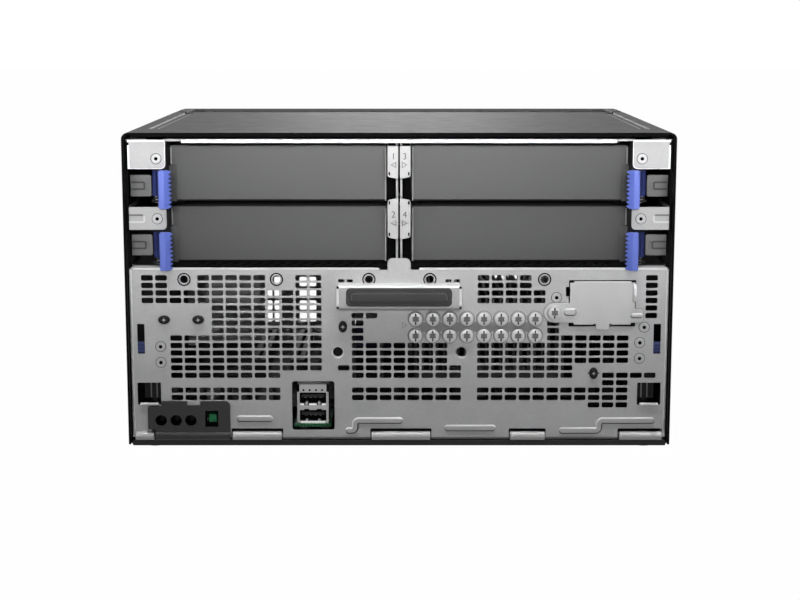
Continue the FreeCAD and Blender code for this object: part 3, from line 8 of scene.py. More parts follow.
import bmesh
import bpy
import numpy as np
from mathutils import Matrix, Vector

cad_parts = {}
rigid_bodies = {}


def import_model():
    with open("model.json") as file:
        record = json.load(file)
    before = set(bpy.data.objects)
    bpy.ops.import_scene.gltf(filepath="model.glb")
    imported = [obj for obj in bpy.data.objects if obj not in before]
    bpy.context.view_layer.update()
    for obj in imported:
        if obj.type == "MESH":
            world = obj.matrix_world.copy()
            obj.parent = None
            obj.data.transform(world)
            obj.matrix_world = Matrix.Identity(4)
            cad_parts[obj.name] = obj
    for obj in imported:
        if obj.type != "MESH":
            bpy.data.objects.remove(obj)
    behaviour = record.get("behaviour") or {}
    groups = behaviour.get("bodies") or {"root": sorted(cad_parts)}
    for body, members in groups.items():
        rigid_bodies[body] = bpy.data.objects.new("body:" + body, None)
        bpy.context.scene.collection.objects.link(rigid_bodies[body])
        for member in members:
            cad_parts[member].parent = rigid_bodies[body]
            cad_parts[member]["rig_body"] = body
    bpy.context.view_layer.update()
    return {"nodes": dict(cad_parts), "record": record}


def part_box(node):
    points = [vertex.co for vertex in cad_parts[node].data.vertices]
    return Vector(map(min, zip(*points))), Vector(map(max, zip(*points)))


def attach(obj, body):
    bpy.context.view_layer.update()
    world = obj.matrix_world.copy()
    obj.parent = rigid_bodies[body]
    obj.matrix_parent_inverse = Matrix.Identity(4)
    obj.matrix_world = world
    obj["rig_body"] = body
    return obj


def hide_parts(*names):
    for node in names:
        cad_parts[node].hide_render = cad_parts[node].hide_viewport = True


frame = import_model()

# Looks of a compact tower server: finishes, pressed and moulded detail, studio and camera.
# Lengths are millimetres in the part's own frame: +X right, front at -Y, +Z up, feet on z = 0.

LOG = logging.getLogger("tower_server")
CHASSIS = "chassis"

# Metres in a millimetre, way from the middle to the outer end of a bay, plane of the front sheet,
# radius of a closed tip, and the way out of a flat shape.
MM = 0.001
BAY_REACH = 104.0
FRONT_FACE = -105.0
TIP = 0.02
OUT = (0.0, 0.0, 1.0)

# Distance in metres at which points join, and the angles of flat faces and of edges that are eased.
WELD = 2e-6
FLAT = math.radians(0.5)
EASED_OVER = math.radians(40.0)

# Thickness of a printed mark, and a bead's slope as (way in from its edge, share of its height).
FOIL = 0.06
BEAD_SLOPE = ((0.0, -0.2), (0.0, 0.05), (0.42, 0.93), (0.60, 1.0))

# White of the floor and the background, and the point that the fill lamps aim at.
WHITE = (1.0, 1.0, 1.0, 1.0)
MIDDLE = (0.0, 0.0, 60.0)

Array = np.ndarray
Corners = Sequence[Sequence[float]]
Span = tuple[float, float]
Point = tuple[float, float, float]
Window = tuple[Span, Span]
Spans = tuple[Span, Span, Span]


# Shader maths

class Value:
    """Number socket of a node tree that takes part in Python arithmetic."""

    def __init__(self, tree: "Tree", socket: bpy.types.NodeSocket) -> None:
        """Keeps the tree and the output socket."""
        self.tree = tree
        self.socket = socket

    def _math(self, operation: str, first: Any, second: Any = 0.0) -> "Value":
        """Adds one Math node over two values."""
        return self.tree.add("ShaderNodeMath", {"operation": operation}, {0: first, 1: second})

    def __add__(self, other: Any) -> "Value":
        """Sum."""
        return self._math("ADD", self, other)

    def __radd__(self, other: Any) -> "Value":
        """Sum with a number on the left."""
        return self._math("ADD", other, self)

    def __sub__(self, other: Any) -> "Value":
        """Difference."""
        return self._math("SUBTRACT", self, other)

    def __rsub__(self, other: Any) -> "Value":
        """Difference from a number on the left."""
        return self._math("SUBTRACT", other, self)

    def __mul__(self, other: Any) -> "Value":
        """Product."""
        return self._math("MULTIPLY", self, other)

    def above(self, limit: float) -> "Value":
        """One where the value is over the limit, and zero elsewhere."""
        return self._math("GREATER_THAN", self, limit)

    def fraction(self) -> "Value":
        """Part after the decimal point."""
        return self._math("FRACT", self)

    def highest(self, other: Any) -> "Value":
        """Larger of two values."""
        return self._math("MAXIMUM", self, other)


class Tree:
    """Node tree of one material or world, with one method that adds any node."""

    def __init__(self, owner: bpy.types.ID) -> None:
        """Empties the owner's tree.

        Args:
            owner: material or world that the nodes belong to.
        """
        owner.use_nodes = True
        self.nodes = owner.node_tree.nodes
        self.links = owner.node_tree.links
        self.nodes.clear()

    def add(self, kind: str, settings: dict[str, Any] | None = None, inputs: dict[Any, Any] | None = None,
            output: Any = 0) -> Value:
        """Adds a node.

        Args:
            kind: Blender's name of the node type.
            settings: node properties, set before the sockets.
            inputs: plain values or Values by socket name or number.
            output: name or number of the output socket that is wanted.

        Returns:
            The wanted output, ready for arithmetic.
        """
        node = self.nodes.new(kind)
        for key, value in (settings or {}).items():
            setattr(node, key, value)
        for key, value in (inputs or {}).items():
            socket = node.inputs[key]
            if isinstance(value, Value):
                self.links.new(value.socket, socket)
            else:
                socket.default_value = value
        return Value(self, node.outputs[output] if len(node.outputs) else None)

    def mix_color(self, factor: Value, first: Any, second: Any) -> Value:
        """Colour between two colours by a factor."""
        inputs = {0: factor, 6: first, 7: second}
        return self.add("ShaderNodeMix", {"data_type": "RGBA", "clamp_factor": True}, inputs, output=2)


# Finishes

class Texture(Enum):
    """Kinds of surface texture."""

    MOULDED = "fine pebble grain of moulded plastic"
    ROLLED = "zinc-coated sheet with soft mottling"
    COATED = "orange-peel skin of powder coat"
    TURNED = "fine streaks of turned or drawn metal"
    BOARD = "circuit board with tracks and pads"


@dataclass(frozen=True)
class Finish:
    """Finish of one of the record's material slots, or look that single pieces take.

    The colour swings by the mottling share about its mean, the roughness follows the same slow noise,
    and the bump is a fine noise of the given depth in millimetres. The last field, under one, paints shade:
    it is the share of the colour that is left at the outer end of a drive bay, where the latch shades the
    blank, and the loss grows with the square of the way there.
    """

    color: Point
    roughness: float
    metallic: float
    texture: Texture
    grain: float
    depth: float
    mottling: float
    specular: float
    fade: float = 1.0

    SLOWER = 24.0
    SLOW_SWING, FINE_SWING, ROUGH_SWING = 0.9, 0.8, 0.16
    BUMP = 0.6
    STREAK = (1.0, 1.0, 6.0)
    TRACKS, PADS, PATCHES = 620.0, 230.0, 42.0
    TRACK_FROM, PAD_FROM = 0.62, 0.22
    ALONG_FROM, ACROSS_UNDER = 0.52, 0.48
    PAD_COLOR = (0.16, 0.15, 0.11, 1.0)

    def material(self, name: str) -> bpy.types.Material:
        """Builds the finish's material once.

        Args:
            name: name of the finish, used in the material's name.

        Returns:
            The material, made now or earlier.
        """
        known = bpy.data.materials.get(f"finish_{name}")
        if known:
            return known
        made = bpy.data.materials.new(f"finish_{name}")
        tree = Tree(made)
        place = tree.add("ShaderNodeTexCoord", output="Object")
        slow = self._noise(tree, place, self.grain / self.SLOWER, 3.0)
        fine = self._noise(tree, place, self.grain, 2.0)
        shade = 0.5 + (slow - 0.5) * self.SLOW_SWING + (fine - 0.5) * self.FINE_SWING
        color = tree.mix_color(shade, self._tint(1.0 - self.mottling), self._tint(1.0 + self.mottling))
        # Painted shade: the colour darkens with the square of the way towards the outer end of a drive bay.
        if self.fade < 1.0:
            way = tree.add("ShaderNodeSeparateXYZ", {}, {0: place}, output="X") * (1.0 / (BAY_REACH * MM))
            color = tree.mix_color(way * way, color, self._tint(self.fade))
        rough = self.roughness + (slow - 0.5) * self.ROUGH_SWING
        height = fine
        metal = self.metallic
        if self.texture is Texture.ROLLED:
            height = fine * 0.6 + self._noise(tree, place, self.grain / 3.0, 1.0) * 0.4
        elif self.texture is Texture.TURNED:
            stretched = tree.add("ShaderNodeMapping", {}, {0: place, 3: self.STREAK})
            height = self._noise(tree, stretched, self.grain, 2.0)
        elif self.texture is Texture.BOARD:
            color, height, metal = self._board(tree, place, color)
        relief = {"Strength": self.BUMP, "Distance": self.depth * MM, "Height": height}
        bump = tree.add("ShaderNodeBump", {}, relief)
        inputs = {"Base Color": color, "Roughness": rough, "Metallic": metal, "Normal": bump,
                  "Specular IOR Level": self.specular}
        shader = tree.add("ShaderNodeBsdfPrincipled", {}, inputs)
        tree.add("ShaderNodeOutputMaterial", {}, {0: shader})
        return made

    def _tint(self, factor: float) -> tuple[float, float, float, float]:
        """Mean colour times a factor, with full alpha."""
        return (*(min(1.0, part * factor) for part in self.color), 1.0)

    @staticmethod
    def _noise(tree: Tree, place: Value, scale: float, detail: float) -> Value:
        """Noise of a given number of cycles per metre."""
        return tree.add("ShaderNodeTexNoise", {}, {"Vector": place, "Scale": scale, "Detail": detail})

    def _board(self, tree: Tree, place: Value, ground: Value) -> tuple[Value, Value, Value]:
        """Tracks and pads: a track runs where a saw wave is high inside a patch of slow noise.

        Args:
            tree: material's node tree.
            place: object coordinates.
            ground: colour of the bare board.

        Returns:
            Colour, height and metalness.
        """
        x, y = (tree.add("ShaderNodeSeparateXYZ", {}, {0: place}, output=axis) for axis in "XY")
        patch = self._noise(tree, place, self.PATCHES, 1.0)
        along, across = ((way * self.TRACKS).fraction().above(self.TRACK_FROM) for way in (x, y))
        along = along * patch.above(self.ALONG_FROM)
        across = across * (1.0 - patch.above(self.ACROSS_UNDER))
        tracks = along.highest(across)
        dots = tree.add("ShaderNodeTexVoronoi", {"feature": "F1"}, {"Vector": place, "Scale": self.PADS})
        pads = 1.0 - dots.above(self.PAD_FROM)
        lighter = tuple(min(1.0, part * 1.9 + 0.02) for part in self.color)
        color = tree.mix_color(tracks * 0.8, ground, (*lighter, 1.0))
        color = tree.mix_color(pads, color, self.PAD_COLOR)
        return color, tracks * 0.6 + pads * 0.4, pads * 0.4


def family(texture: Texture, grain: float, **looks: tuple[Any, ...]) -> dict[str, Finish]:
    """Finishes of one texture and grain.

    Args:
        texture: kind of surface.
        grain: cycles of the fine noise per metre.
        looks: by name, a grey level or a colour, then roughness, metalness, depth of the bump, mottling,
        specular level and, where painted shade darkens it towards a bay's end, the share of colour left.

    Returns:
        The finishes by name.
    """
    made = {}
    for name, (color, roughness, metallic, *rest) in looks.items():
        shade = color if isinstance(color, tuple) else (color, color, color)
        made[name] = Finish(shade, roughness, metallic, texture, grain, *rest)
    return made


FINISHES: dict[str, Finish] = {
    **family(Texture.COATED, 2400.0,
             cover_paint=((0.006, 0.006, 0.0062), 0.58, 0.0, 0.003, 0.10, 0.22),
             base_paint=((0.008, 0.008, 0.0082), 0.52, 0.0, 0.003, 0.10, 0.25),
             strip_paint=(0.070, 0.80, 0.0, 0.003, 0.08, 0.05),
             # Near black with little sheen, on the cover's front edge and on gaps, cuts, holes, slots, rails
             # and deep floors: painted shade.
             cover_edge=(0.003, 0.70, 0.0, 0.003, 0.10, 0.03),
             # The next two: lighter lines along the cover's sunk beads, where light catches their edges:
             # painted highlight.
             cover_line=(0.05, 0.55, 0.0, 0.003, 0.06, 0.4),
             worn_line=(0.22, 0.55, 0.0, 0.003, 0.06, 0.4)),
    **family(Texture.ROLLED, 1500.0,
             sheet_steel=((0.46, 0.46, 0.462), 0.50, 0.18, 0.006, 0.14, 0.5),
             # The next two: a lighter copy of the sheet for the hatch (painted light) and a darker one for
             # the front brackets (painted shade).
             hatch_steel=((0.55, 0.55, 0.552), 0.50, 0.18, 0.006, 0.12, 0.5),
             bracket_steel=((0.40, 0.40, 0.401), 0.50, 0.12, 0.006, 0.10, 0.5),
             # The next three: lighter copies of the sheet on bent rims, bead slopes, hole rims, edges and
             # rolls: painted highlight.
             bright_steel=(0.80, 0.42, 0.12, 0.004, 0.04, 0.5),
             rim_steel=(0.56, 0.42, 0.12, 0.004, 0.04, 0.5),
             roll_steel=(0.50, 0.42, 0.15, 0.004, 0.05, 0.5),
             # The next four: darker copies of the sheet on the folded foot, recessed pockets, deep insides
             # and bead and groove lines: painted shade.
             foot_steel=(0.26, 0.50, 0.10, 0.006, 0.09, 0.3),
             pocket_steel=((0.165, 0.165, 0.166), 0.52, 0.10, 0.006, 0.09, 0.3),
             inner_steel=((0.020, 0.020, 0.0205), 0.55, 0.0, 0.006, 0.12, 0.1),
             groove_grey=(0.07, 0.55, 0.0, 0.004, 0.08, 0.2)),
    **family(Texture.ROLLED, 1800.0,
             shell_steel=(0.55, 0.34, 0.80, 0.004, 0.06, 0.5),
             port_steel=(0.50, 0.38, 0.45, 0.004, 0.06, 0.4),
             # Brighter, glossier copy of the shell steel on the port lips: painted highlight.
             lip_steel=(0.86, 0.25, 0.85, 0.003, 0.04, 0.5)),
    **family(Texture.TURNED, 2600.0,
             screw_steel=(0.52, 0.40, 0.40, 0.006, 0.06, 0.5),
             rivet_steel=((0.46, 0.46, 0.462), 0.42, 0.30, 0.006, 0.06, 0.5),
             dark_screw=(0.014, 0.30, 0.0, 0.006, 0.08, 0.12),
             # Grey for recess floors and groove lines (painted shade), and for lighter bands on the dark lock
             # bars (painted highlight).
             recess_grey=(0.16, 0.50, 0.10, 0.006, 0.08, 0.3),
             bar_steel=((0.060, 0.060, 0.061), 0.30, 0.70, 0.004, 0.08, 0.3),
             bar_shade=(0.012, 0.45, 0.0, 0.004, 0.08, 0.10)),
    **family(Texture.TURNED, 1400.0, cooler_aluminium=((0.10, 0.10, 0.102), 0.42, 0.60, 0.006, 0.06, 0.5)),
    **family(Texture.MOULDED, 2600.0,
             # The blank plastic darkens towards the outer end of each bay (painted shade); the next is a
             # darker copy of it for the lower blanks (painted shade).
             blank_plastic=((0.138, 0.138, 0.139), 0.55, 0.0, 0.008, 0.05, 0.3, 0.66),
             blank_low=((0.101, 0.101, 0.102), 0.55, 0.0, 0.008, 0.05, 0.3, 0.66),
             # Lighter grey on the blanks' side bevels: painted highlight.
             blank_edge=(0.34, 0.50, 0.0, 0.006, 0.05, 0.3),
             blank_shade=(0.016, 0.60, 0.0, 0.008, 0.05, 0.2),
             rail_shade=((0.080, 0.080, 0.081), 0.55, 0.0, 0.008, 0.05, 0.3),
             black_plastic=(0.010, 0.55, 0.0, 0.012, 0.08, 0.3),
             tongue_grey=(0.055, 0.55, 0.0, 0.008, 0.06, 0.2),
             figure_grey=(0.10, 0.60, 0.0, 0.002, 0.05, 0.2),
             # Grey for printed arrows, and for rings and lines of painted shade round screw heads and hatch
             # lugs.
             arrow_grey=(0.30, 0.55, 0.0, 0.002, 0.05, 0.2),
             latch_blue=((0.125, 0.180, 0.620), 0.42, 0.0, 0.006, 0.05, 0.4),
             latch_shade=((0.030, 0.042, 0.165), 0.50, 0.0, 0.006, 0.05, 0.2),
             # Darker than the latch blue: painted shade on the recessed sliders.
             slider_blue=((0.038, 0.051, 0.156), 0.45, 0.0, 0.006, 0.06, 0.3),
             button_green=((0.010, 0.190, 0.065), 0.40, 0.0, 0.006, 0.05, 0.25)),
    **family(Texture.MOULDED, 2400.0,
             status_plastic=(0.024, 0.52, 0.0, 0.012, 0.08, 0.3),
             display_blue=((0.006, 0.012, 0.050), 0.48, 0.0, 0.010, 0.06, 0.4)),
    **family(Texture.MOULDED, 2200.0,
             foot_rubber=(0.014, 0.75, 0.0, 0.020, 0.10, 0.3),
             grip_plastic=(0.026, 0.55, 0.0, 0.014, 0.08, 0.4),
             # Lighter line along the edge of the grip's pad: painted highlight.
             grip_line=(0.085, 0.50, 0.0, 0.008, 0.08, 0.3)),
    **family(Texture.MOULDED, 1400.0, cable_grey=((0.20, 0.20, 0.205), 0.55, 0.0, 0.012, 0.08, 0.3)),
    # Near black on the clear light pipes: painted shade in the lamp openings.
    **family(Texture.MOULDED, 900.0, lamp_clear=(0.004, 0.30, 0.0, 0.002, 0.03, 0.05)),
    **family(Texture.BOARD, 2000.0,
             board_green=((0.012, 0.095, 0.036), 0.45, 0.0, 0.030, 0.10, 0.3),
             board_dark=((0.006, 0.007, 0.0065), 0.55, 0.0, 0.030, 0.10, 0.1)),
}


# Shapes

def unit(vectors: Array) -> Array:
    """Vectors scaled to length one; a zero vector stays zero."""
    length = np.linalg.norm(vectors, axis=-1, keepdims=True)
    return np.divide(vectors, length, out=np.zeros_like(vectors), where=length > 0)


def rounded(corners: Corners, steps: int = 4, closed: bool = True) -> Array:
    """Outline whose corners are arcs.

    An arc point is the arc's centre plus the two radius vectors to its ends, weighted by the sines of
    the turn that is left and the turn that is done, over the sine of the whole turn.

    Args:
        corners: (across, up) or (across, up, radius) of each corner.
        steps: segments of each arc.
        closed: whether the last corner joins the first.

    Returns:
        Points of the outline, shape (count, 2), without repeats.
    """
    rows = np.array([(*corner, 0.0)[:3] for corner in corners], float)
    point, radius = rows[:, :2], rows[:, 2:].copy()
    if not closed:
        radius[[0, -1]] = 0.0
    back = unit(np.roll(point, 1, 0) - point)
    ahead = unit(np.roll(point, -1, 0) - point)
    between = np.arccos(np.clip((back * ahead).sum(1, keepdims=True), -1.0, 1.0))
    half = np.clip(between / 2, 1e-6, np.pi / 2 - 1e-6)
    centre = point + unit(back + ahead) * radius / np.sin(half)
    first = (point + back * radius / np.tan(half) - centre)[:, None]
    last = (point + ahead * radius / np.tan(half) - centre)[:, None]
    share = np.linspace(0.0, 1.0, steps + 1)[None, :, None]
    turn = (np.pi - 2 * half)[:, None]
    arcs = (np.sin((1 - share) * turn) * first + np.sin(share * turn) * last) / np.sin(turn)
    points = (centre[:, None] + arcs).reshape(-1, 2)
    gap = np.linalg.norm(points - np.roll(points, 1, 0), axis=1)
    keep = gap > 1e-6
    keep[0] |= not closed
    return points[keep]


def rect(across: Span, up: Span, radius: float = 0.0, steps: int = 4) -> Array:
    """Rectangle with equal corner arcs over a span across, either way round, and a (low, high) span up."""
    low, high = sorted(across)
    corners = [(low, up[0], radius), (high, up[0], radius), (high, up[1], radius), (low, up[1], radius)]
    return rounded(corners, steps)


def circle(centre: Span, radius: float, count: int = 32) -> Array:
    """Points of a circle."""
    angle = np.linspace(0.0, 2 * np.pi, count, endpoint=False)
    return np.column_stack((centre[0] + radius * np.cos(angle), centre[1] + radius * np.sin(angle)))


@dataclass
class Shape:
    """Surface as points, shape (count, 3) in millimetres, and faces as lists of point numbers."""

    points: Array
    faces: list[list[int]]

    def __add__(self, other: "Shape") -> "Shape":
        """Both surfaces in one."""
        shift = len(self.points)
        moved = [[i + shift for i in face] for face in other.faces]
        return Shape(np.vstack((self.points, other.points)), self.faces + moved)

    def repeated(self, offsets: Corners) -> "Shape":
        """One copy at each offset along two or three axes."""
        count = len(self.points)
        shifts = np.array([(*offset, 0.0)[:3] for offset in offsets], float)
        points = (self.points[None] + shifts[:, None]).reshape(-1, 3)
        faces = [[i + k * count for i in face] for k in range(len(offsets)) for face in self.faces]
        return Shape(points, faces)

    def mirrored(self) -> "Shape":
        """Twin on the other side of the middle plane."""
        return Shape(self.points * (-1.0, 1.0, 1.0), self.faces)

    def paired(self) -> "Shape":
        """Surface and its twin in one."""
        return self + self.mirrored()

    def parted(self, low: Sequence[float], high: Sequence[float]) -> tuple["Shape", "Shape"]:
        """Parts a surface of triangles by a box.

        Args:
            low: lowest corner of the box.
            high: highest corner of the box.

        Returns:
            The triangles whose middles lie in the box, and the rest.
        """
        corners = np.array(self.faces)
        middles = self.points[corners].mean(axis=1)
        within = ((middles > low) & (middles < high)).all(axis=1)
        return self._kept(corners[within]), self._kept(corners[~within])

    def _kept(self, corners: Array) -> "Shape":
        """Some triangles of the surface, with only the points that they use."""
        used, index = np.unique(corners, return_inverse=True)
        return Shape(self.points[used], index.reshape(corners.shape).tolist())


def together(shapes: Iterable[Shape]) -> Shape:
    """Several surfaces in one."""
    whole = None
    for shape in shapes:
        whole = shape if whole is None else whole + shape
    return whole


def stack(loops: Array) -> Shape:
    """Closed skin over loops of equal length.

    Each face joins two neighbours of one loop to the same two of the next, and a flat face closes each end.

    Args:
        loops: points, shape (levels, count, 3).

    Returns:
        The skin.
    """
    levels, count = loops.shape[:2]
    index = np.arange(levels * count).reshape(levels, count)
    ahead = np.roll(index, -1, axis=1)
    quads = np.stack((index[:-1], ahead[:-1], ahead[1:], index[1:]), axis=-1).reshape(-1, 4)
    return Shape(loops.reshape(-1, 3), quads.tolist() + [index[0, ::-1].tolist(), index[-1].tolist()])


def prism(outline: Array, low: float, high: float) -> Shape:
    """Outline carried straight from one level of the third axis to another."""
    flat = np.column_stack((outline, np.zeros(len(outline))))
    return stack(np.stack((flat + (0, 0, low), flat + (0, 0, high))))


def block(x: Span, y: Span, z: Span) -> Shape:
    """Block between three spans, in the part's frame."""
    return prism(rect(x, y), *z)


def spanned(section: Array, across: Span) -> Shape:
    """Side view (depth, up), shape (count, 2), carried straight from one place across to another."""
    loops = np.empty((2, len(section), 3))
    loops[:, :, 0] = np.array(across)[:, None]
    loops[:, :, 1:] = section
    return stack(loops)


def hoop(profile: Corners, count: int = 40) -> Shape:
    """Closed profile (radius, out) turned about the out axis into a closed ring."""
    radius, out = np.array(profile, float).T
    angle = np.linspace(0.0, 2 * np.pi, count, endpoint=False)
    across, up = np.outer(np.cos(angle), radius), np.outer(np.sin(angle), radius)
    points = np.stack((across, up, np.broadcast_to(out, across.shape)), axis=-1)
    index = np.arange(across.size).reshape(across.shape)
    ahead, onward = np.roll(index, -1, axis=1), np.roll(index, -1, axis=0)
    quads = np.stack((index, ahead, np.roll(onward, -1, axis=1), onward), axis=-1).reshape(-1, 4)
    return Shape(points.reshape(-1, 3), quads.tolist())


def turned(profile: Corners, count: int = 32) -> Shape:
    """Profile (radius, height) turned about the out axis."""
    return lobed([(np.full(count, radius), height) for radius, height in profile])


def lobed(levels: Sequence[tuple[Array, float]]) -> Shape:
    """Stack of polar loops.

    A loop's point is its radius times (cosine, sine) of its angle, at the loop's height.

    Args:
        levels: (radius at each angle, height) of each loop.

    Returns:
        The closed skin.
    """
    radius = np.stack([level[0] for level in levels])
    height = np.repeat(np.array([[level[1]] for level in levels]), radius.shape[1], axis=1)
    angle = np.linspace(0.0, 2 * np.pi, radius.shape[1], endpoint=False)
    return stack(np.stack((radius * np.cos(angle), radius * np.sin(angle), height), axis=-1))


def terraced(outline: Array, levels: Corners) -> Shape:
    """Outline stepped inwards as it rises.

    A level's point is the outline's point moved towards the outline's middle line by the level's inset.

    Args:
        outline: points of the lowest loop, shape (count, 2).
        levels: (inset, height) of each loop.

    Returns:
        The closed skin.
    """
    low, high = outline.min(0), outline.max(0)
    middle, half = (low + high) / 2, (high - low) / 2
    loops = []
    for inset, height in levels:
        ring = middle + (outline - middle) * (half - inset) / half
        loops.append(np.column_stack((ring, np.full(len(ring), height))))
    return stack(np.stack(loops))


def carried(profile: Array, path: Array, up: Sequence[float], scale: Array | float = 1.0) -> Shape:
    """Closed profile carried along a path.

    A point is the path's point plus the profile's first number along the side and its second along up,
    both times the scale there, where the side is the path's direction crossed with up.

    Args:
        profile: closed section, shape (count, 2).
        path: points, shape (stations, 3).
        up: direction of the profile's second number.
        scale: size of the section at each station.

    Returns:
        The closed skin.
    """
    rise = np.asarray(up, float)
    side = unit(np.cross(unit(np.gradient(path, axis=0)), rise))
    size = np.broadcast_to(np.asarray(scale, float), len(path))[:, None, None]
    offset = profile[None, :, :1] * side[:, None] + profile[None, :, 1:] * rise
    return stack(path[:, None] + size * offset)


def bead_path(corners: Corners, width: float) -> tuple[Array, Array]:
    """Middle line of a bead with round ends.

    Near each end the section shrinks as the sine of an angle while the line advances by one minus the cosine.

    Args:
        corners: (across, up, radius) of the middle line.
        width: full width of the bead.

    Returns:
        Points of the line, and the scale of the section at each.
    """
    line = rounded(corners, 6, closed=False)
    turn = np.linspace(0.0, np.pi / 2, 7)
    ends = []
    for tip, inner in ((line[0], line[1]), (line[-1], line[-2])):
        way = unit((inner - tip)[None])[0]
        ends.append(tip + way * (width / 2) * (1 - np.cos(turn))[:, None])
    flat = np.vstack((ends[0], line[1:-1], ends[1][::-1]))
    scale = np.concatenate((np.sin(turn), np.ones(len(line) - 2), np.sin(turn)[::-1]))
    return np.column_stack((flat, np.zeros(len(flat)))), scale


def bead(corners: Corners, width: float, height: float) -> Shape:
    """Pressed bead along a bent line, in (across, up, out): a flat top between two slopes."""
    slope = np.array(BEAD_SLOPE)
    side = np.column_stack((width / 2 - slope[:, 0], height * slope[:, 1]))
    section = np.vstack((side, side[::-1] * (-1.0, 1.0)))
    path, scale = bead_path(corners, width)
    return carried(section, path, OUT, scale)


def bead_line(corners: Corners, width: float, height: float, side: int, breadth: float) -> Shape:
    """Thin skin over one slope of a bead: the slope's section, lifted a little and carried along the bead.

    Args:
        corners: (across, up, radius) of the bead's middle line.
        width: full width of the bead.
        height: height of the bead.
        side: -1 for the slope to the left of the line's way, 1 for the other.
        breadth: how far the skin reaches in from the bead's edge.

    Returns:
        The skin in (across, up, out).
    """
    edge = width / 2
    rows = np.array([(edge + 0.05, 0.02), (edge - 0.38, 0.96 * height), (edge - breadth, height + 0.03),
                     (edge - breadth, 0.5 * height), (edge - 0.3, 0.0)])
    path, scale = bead_path(corners, width)
    return carried(rows * (side, 1.0), path, OUT, scale)


def outline_arrow(side: int, middle: Span, reach: float) -> Shape:
    """Flat outline triangle about a middle point that points along side times the across axis."""
    turns = np.radians((0.0, 120.0, 240.0))
    wheel = np.column_stack((side * np.cos(turns), np.sin(turns)))
    return plate([np.array(middle) + wheel * reach * share for share in (1.15, 0.72)], FOIL, 0.0)


def read_mesh(mesh: bpy.types.Mesh, scale: float = 1.0) -> Shape:
    """Points and faces of a mesh."""
    points = np.empty(len(mesh.vertices) * 3, np.float32)
    mesh.vertices.foreach_get("co", points)
    corner = np.empty(len(mesh.loops), np.int32)
    mesh.loops.foreach_get("vertex_index", corner)
    first = np.empty(len(mesh.polygons), np.int32)
    mesh.polygons.foreach_get("loop_start", first)
    faces = [part.tolist() for part in np.split(corner, first[1:])]
    return Shape(points.reshape(-1, 3).astype(float) * scale, faces)


def curve_shape(curve: bpy.types.Curve) -> Shape:
    """Mesh of a flat curve or text, in the curve's own units, with the curve taken away."""
    holder = bpy.data.objects.new("flat", curve)
    mesh = bpy.data.meshes.new_from_object(holder)
    shape = read_mesh(mesh)
    bpy.data.objects.remove(holder)
    bpy.data.meshes.remove(mesh)
    bpy.data.curves.remove(curve)
    return shape


def plate(outlines: Sequence[Array], thickness: float, edge: float = 0.12) -> Shape:
    """Flat plate with openings.

    Args:
        outlines: the rim, then the openings, each of shape (count, 2).
        thickness: plate lies between out = -thickness and out = 0.
        edge: size of the eased rims.

    Returns:
        The plate in (across, up, out).
    """
    curve = bpy.data.curves.new("flat", "CURVE")
    curve.dimensions = "2D"
    curve.fill_mode = "BOTH"
    curve.extrude = thickness / 2 - edge
    curve.bevel_depth = edge
    curve.bevel_resolution = 1
    curve.offset = -edge
    for outline in outlines:
        spline = curve.splines.new("POLY")
        spline.points.add(len(outline) - 1)
        rows = np.column_stack((outline, np.zeros(len(outline)), np.ones(len(outline))))
        spline.points.foreach_set("co", rows.ravel())
        spline.use_cyclic_u = True
    shape = curve_shape(curve)
    shape.points[:, 2] -= thickness / 2
    return shape


def numeral(text: str, size: float, middle: Span) -> Shape:
    """Thin upright figures round a middle point, in (across, up, out)."""
    curve = bpy.data.curves.new("figure", "FONT")
    curve.body = text
    curve.size = size
    curve.extrude = 0.02
    shape = curve_shape(curve)
    low, high = shape.points.min(0), shape.points.max(0)
    shape.points += (*middle, 0.0) - (low + high) / 2
    return shape


class Facing(Enum):
    """Way that an upright plane looks."""

    FRONT = -1.0
    REAR = 1.0


def upright(shape: Shape, y: float, facing: Facing = Facing.FRONT) -> Shape:
    """Stands a shape of (across, up, out) on the plane y, with out pointing away from the object."""
    across, up, out = shape.points.T
    return Shape(np.column_stack((across, y + facing.value * out, up)), shape.faces)


# Pieces

def node_box(node: str) -> tuple[Array, Array]:
    """Lowest and highest corner of a node, in millimetres."""
    low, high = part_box(node)
    return np.array(low) / MM, np.array(high) / MM


@dataclass(frozen=True)
class Patch:
    """Stretch of a node, inside a box, that takes another look, or none where another piece stands there."""

    name: str
    low: Point
    high: Point
    look: str | None

    def mirrored(self) -> "Patch":
        """Same stretch on the other side of the middle plane."""
        low, high = (-self.high[0], *self.low[1:]), (-self.low[0], *self.high[1:])
        return Patch(f"{self.name}_left", low, high, self.look)


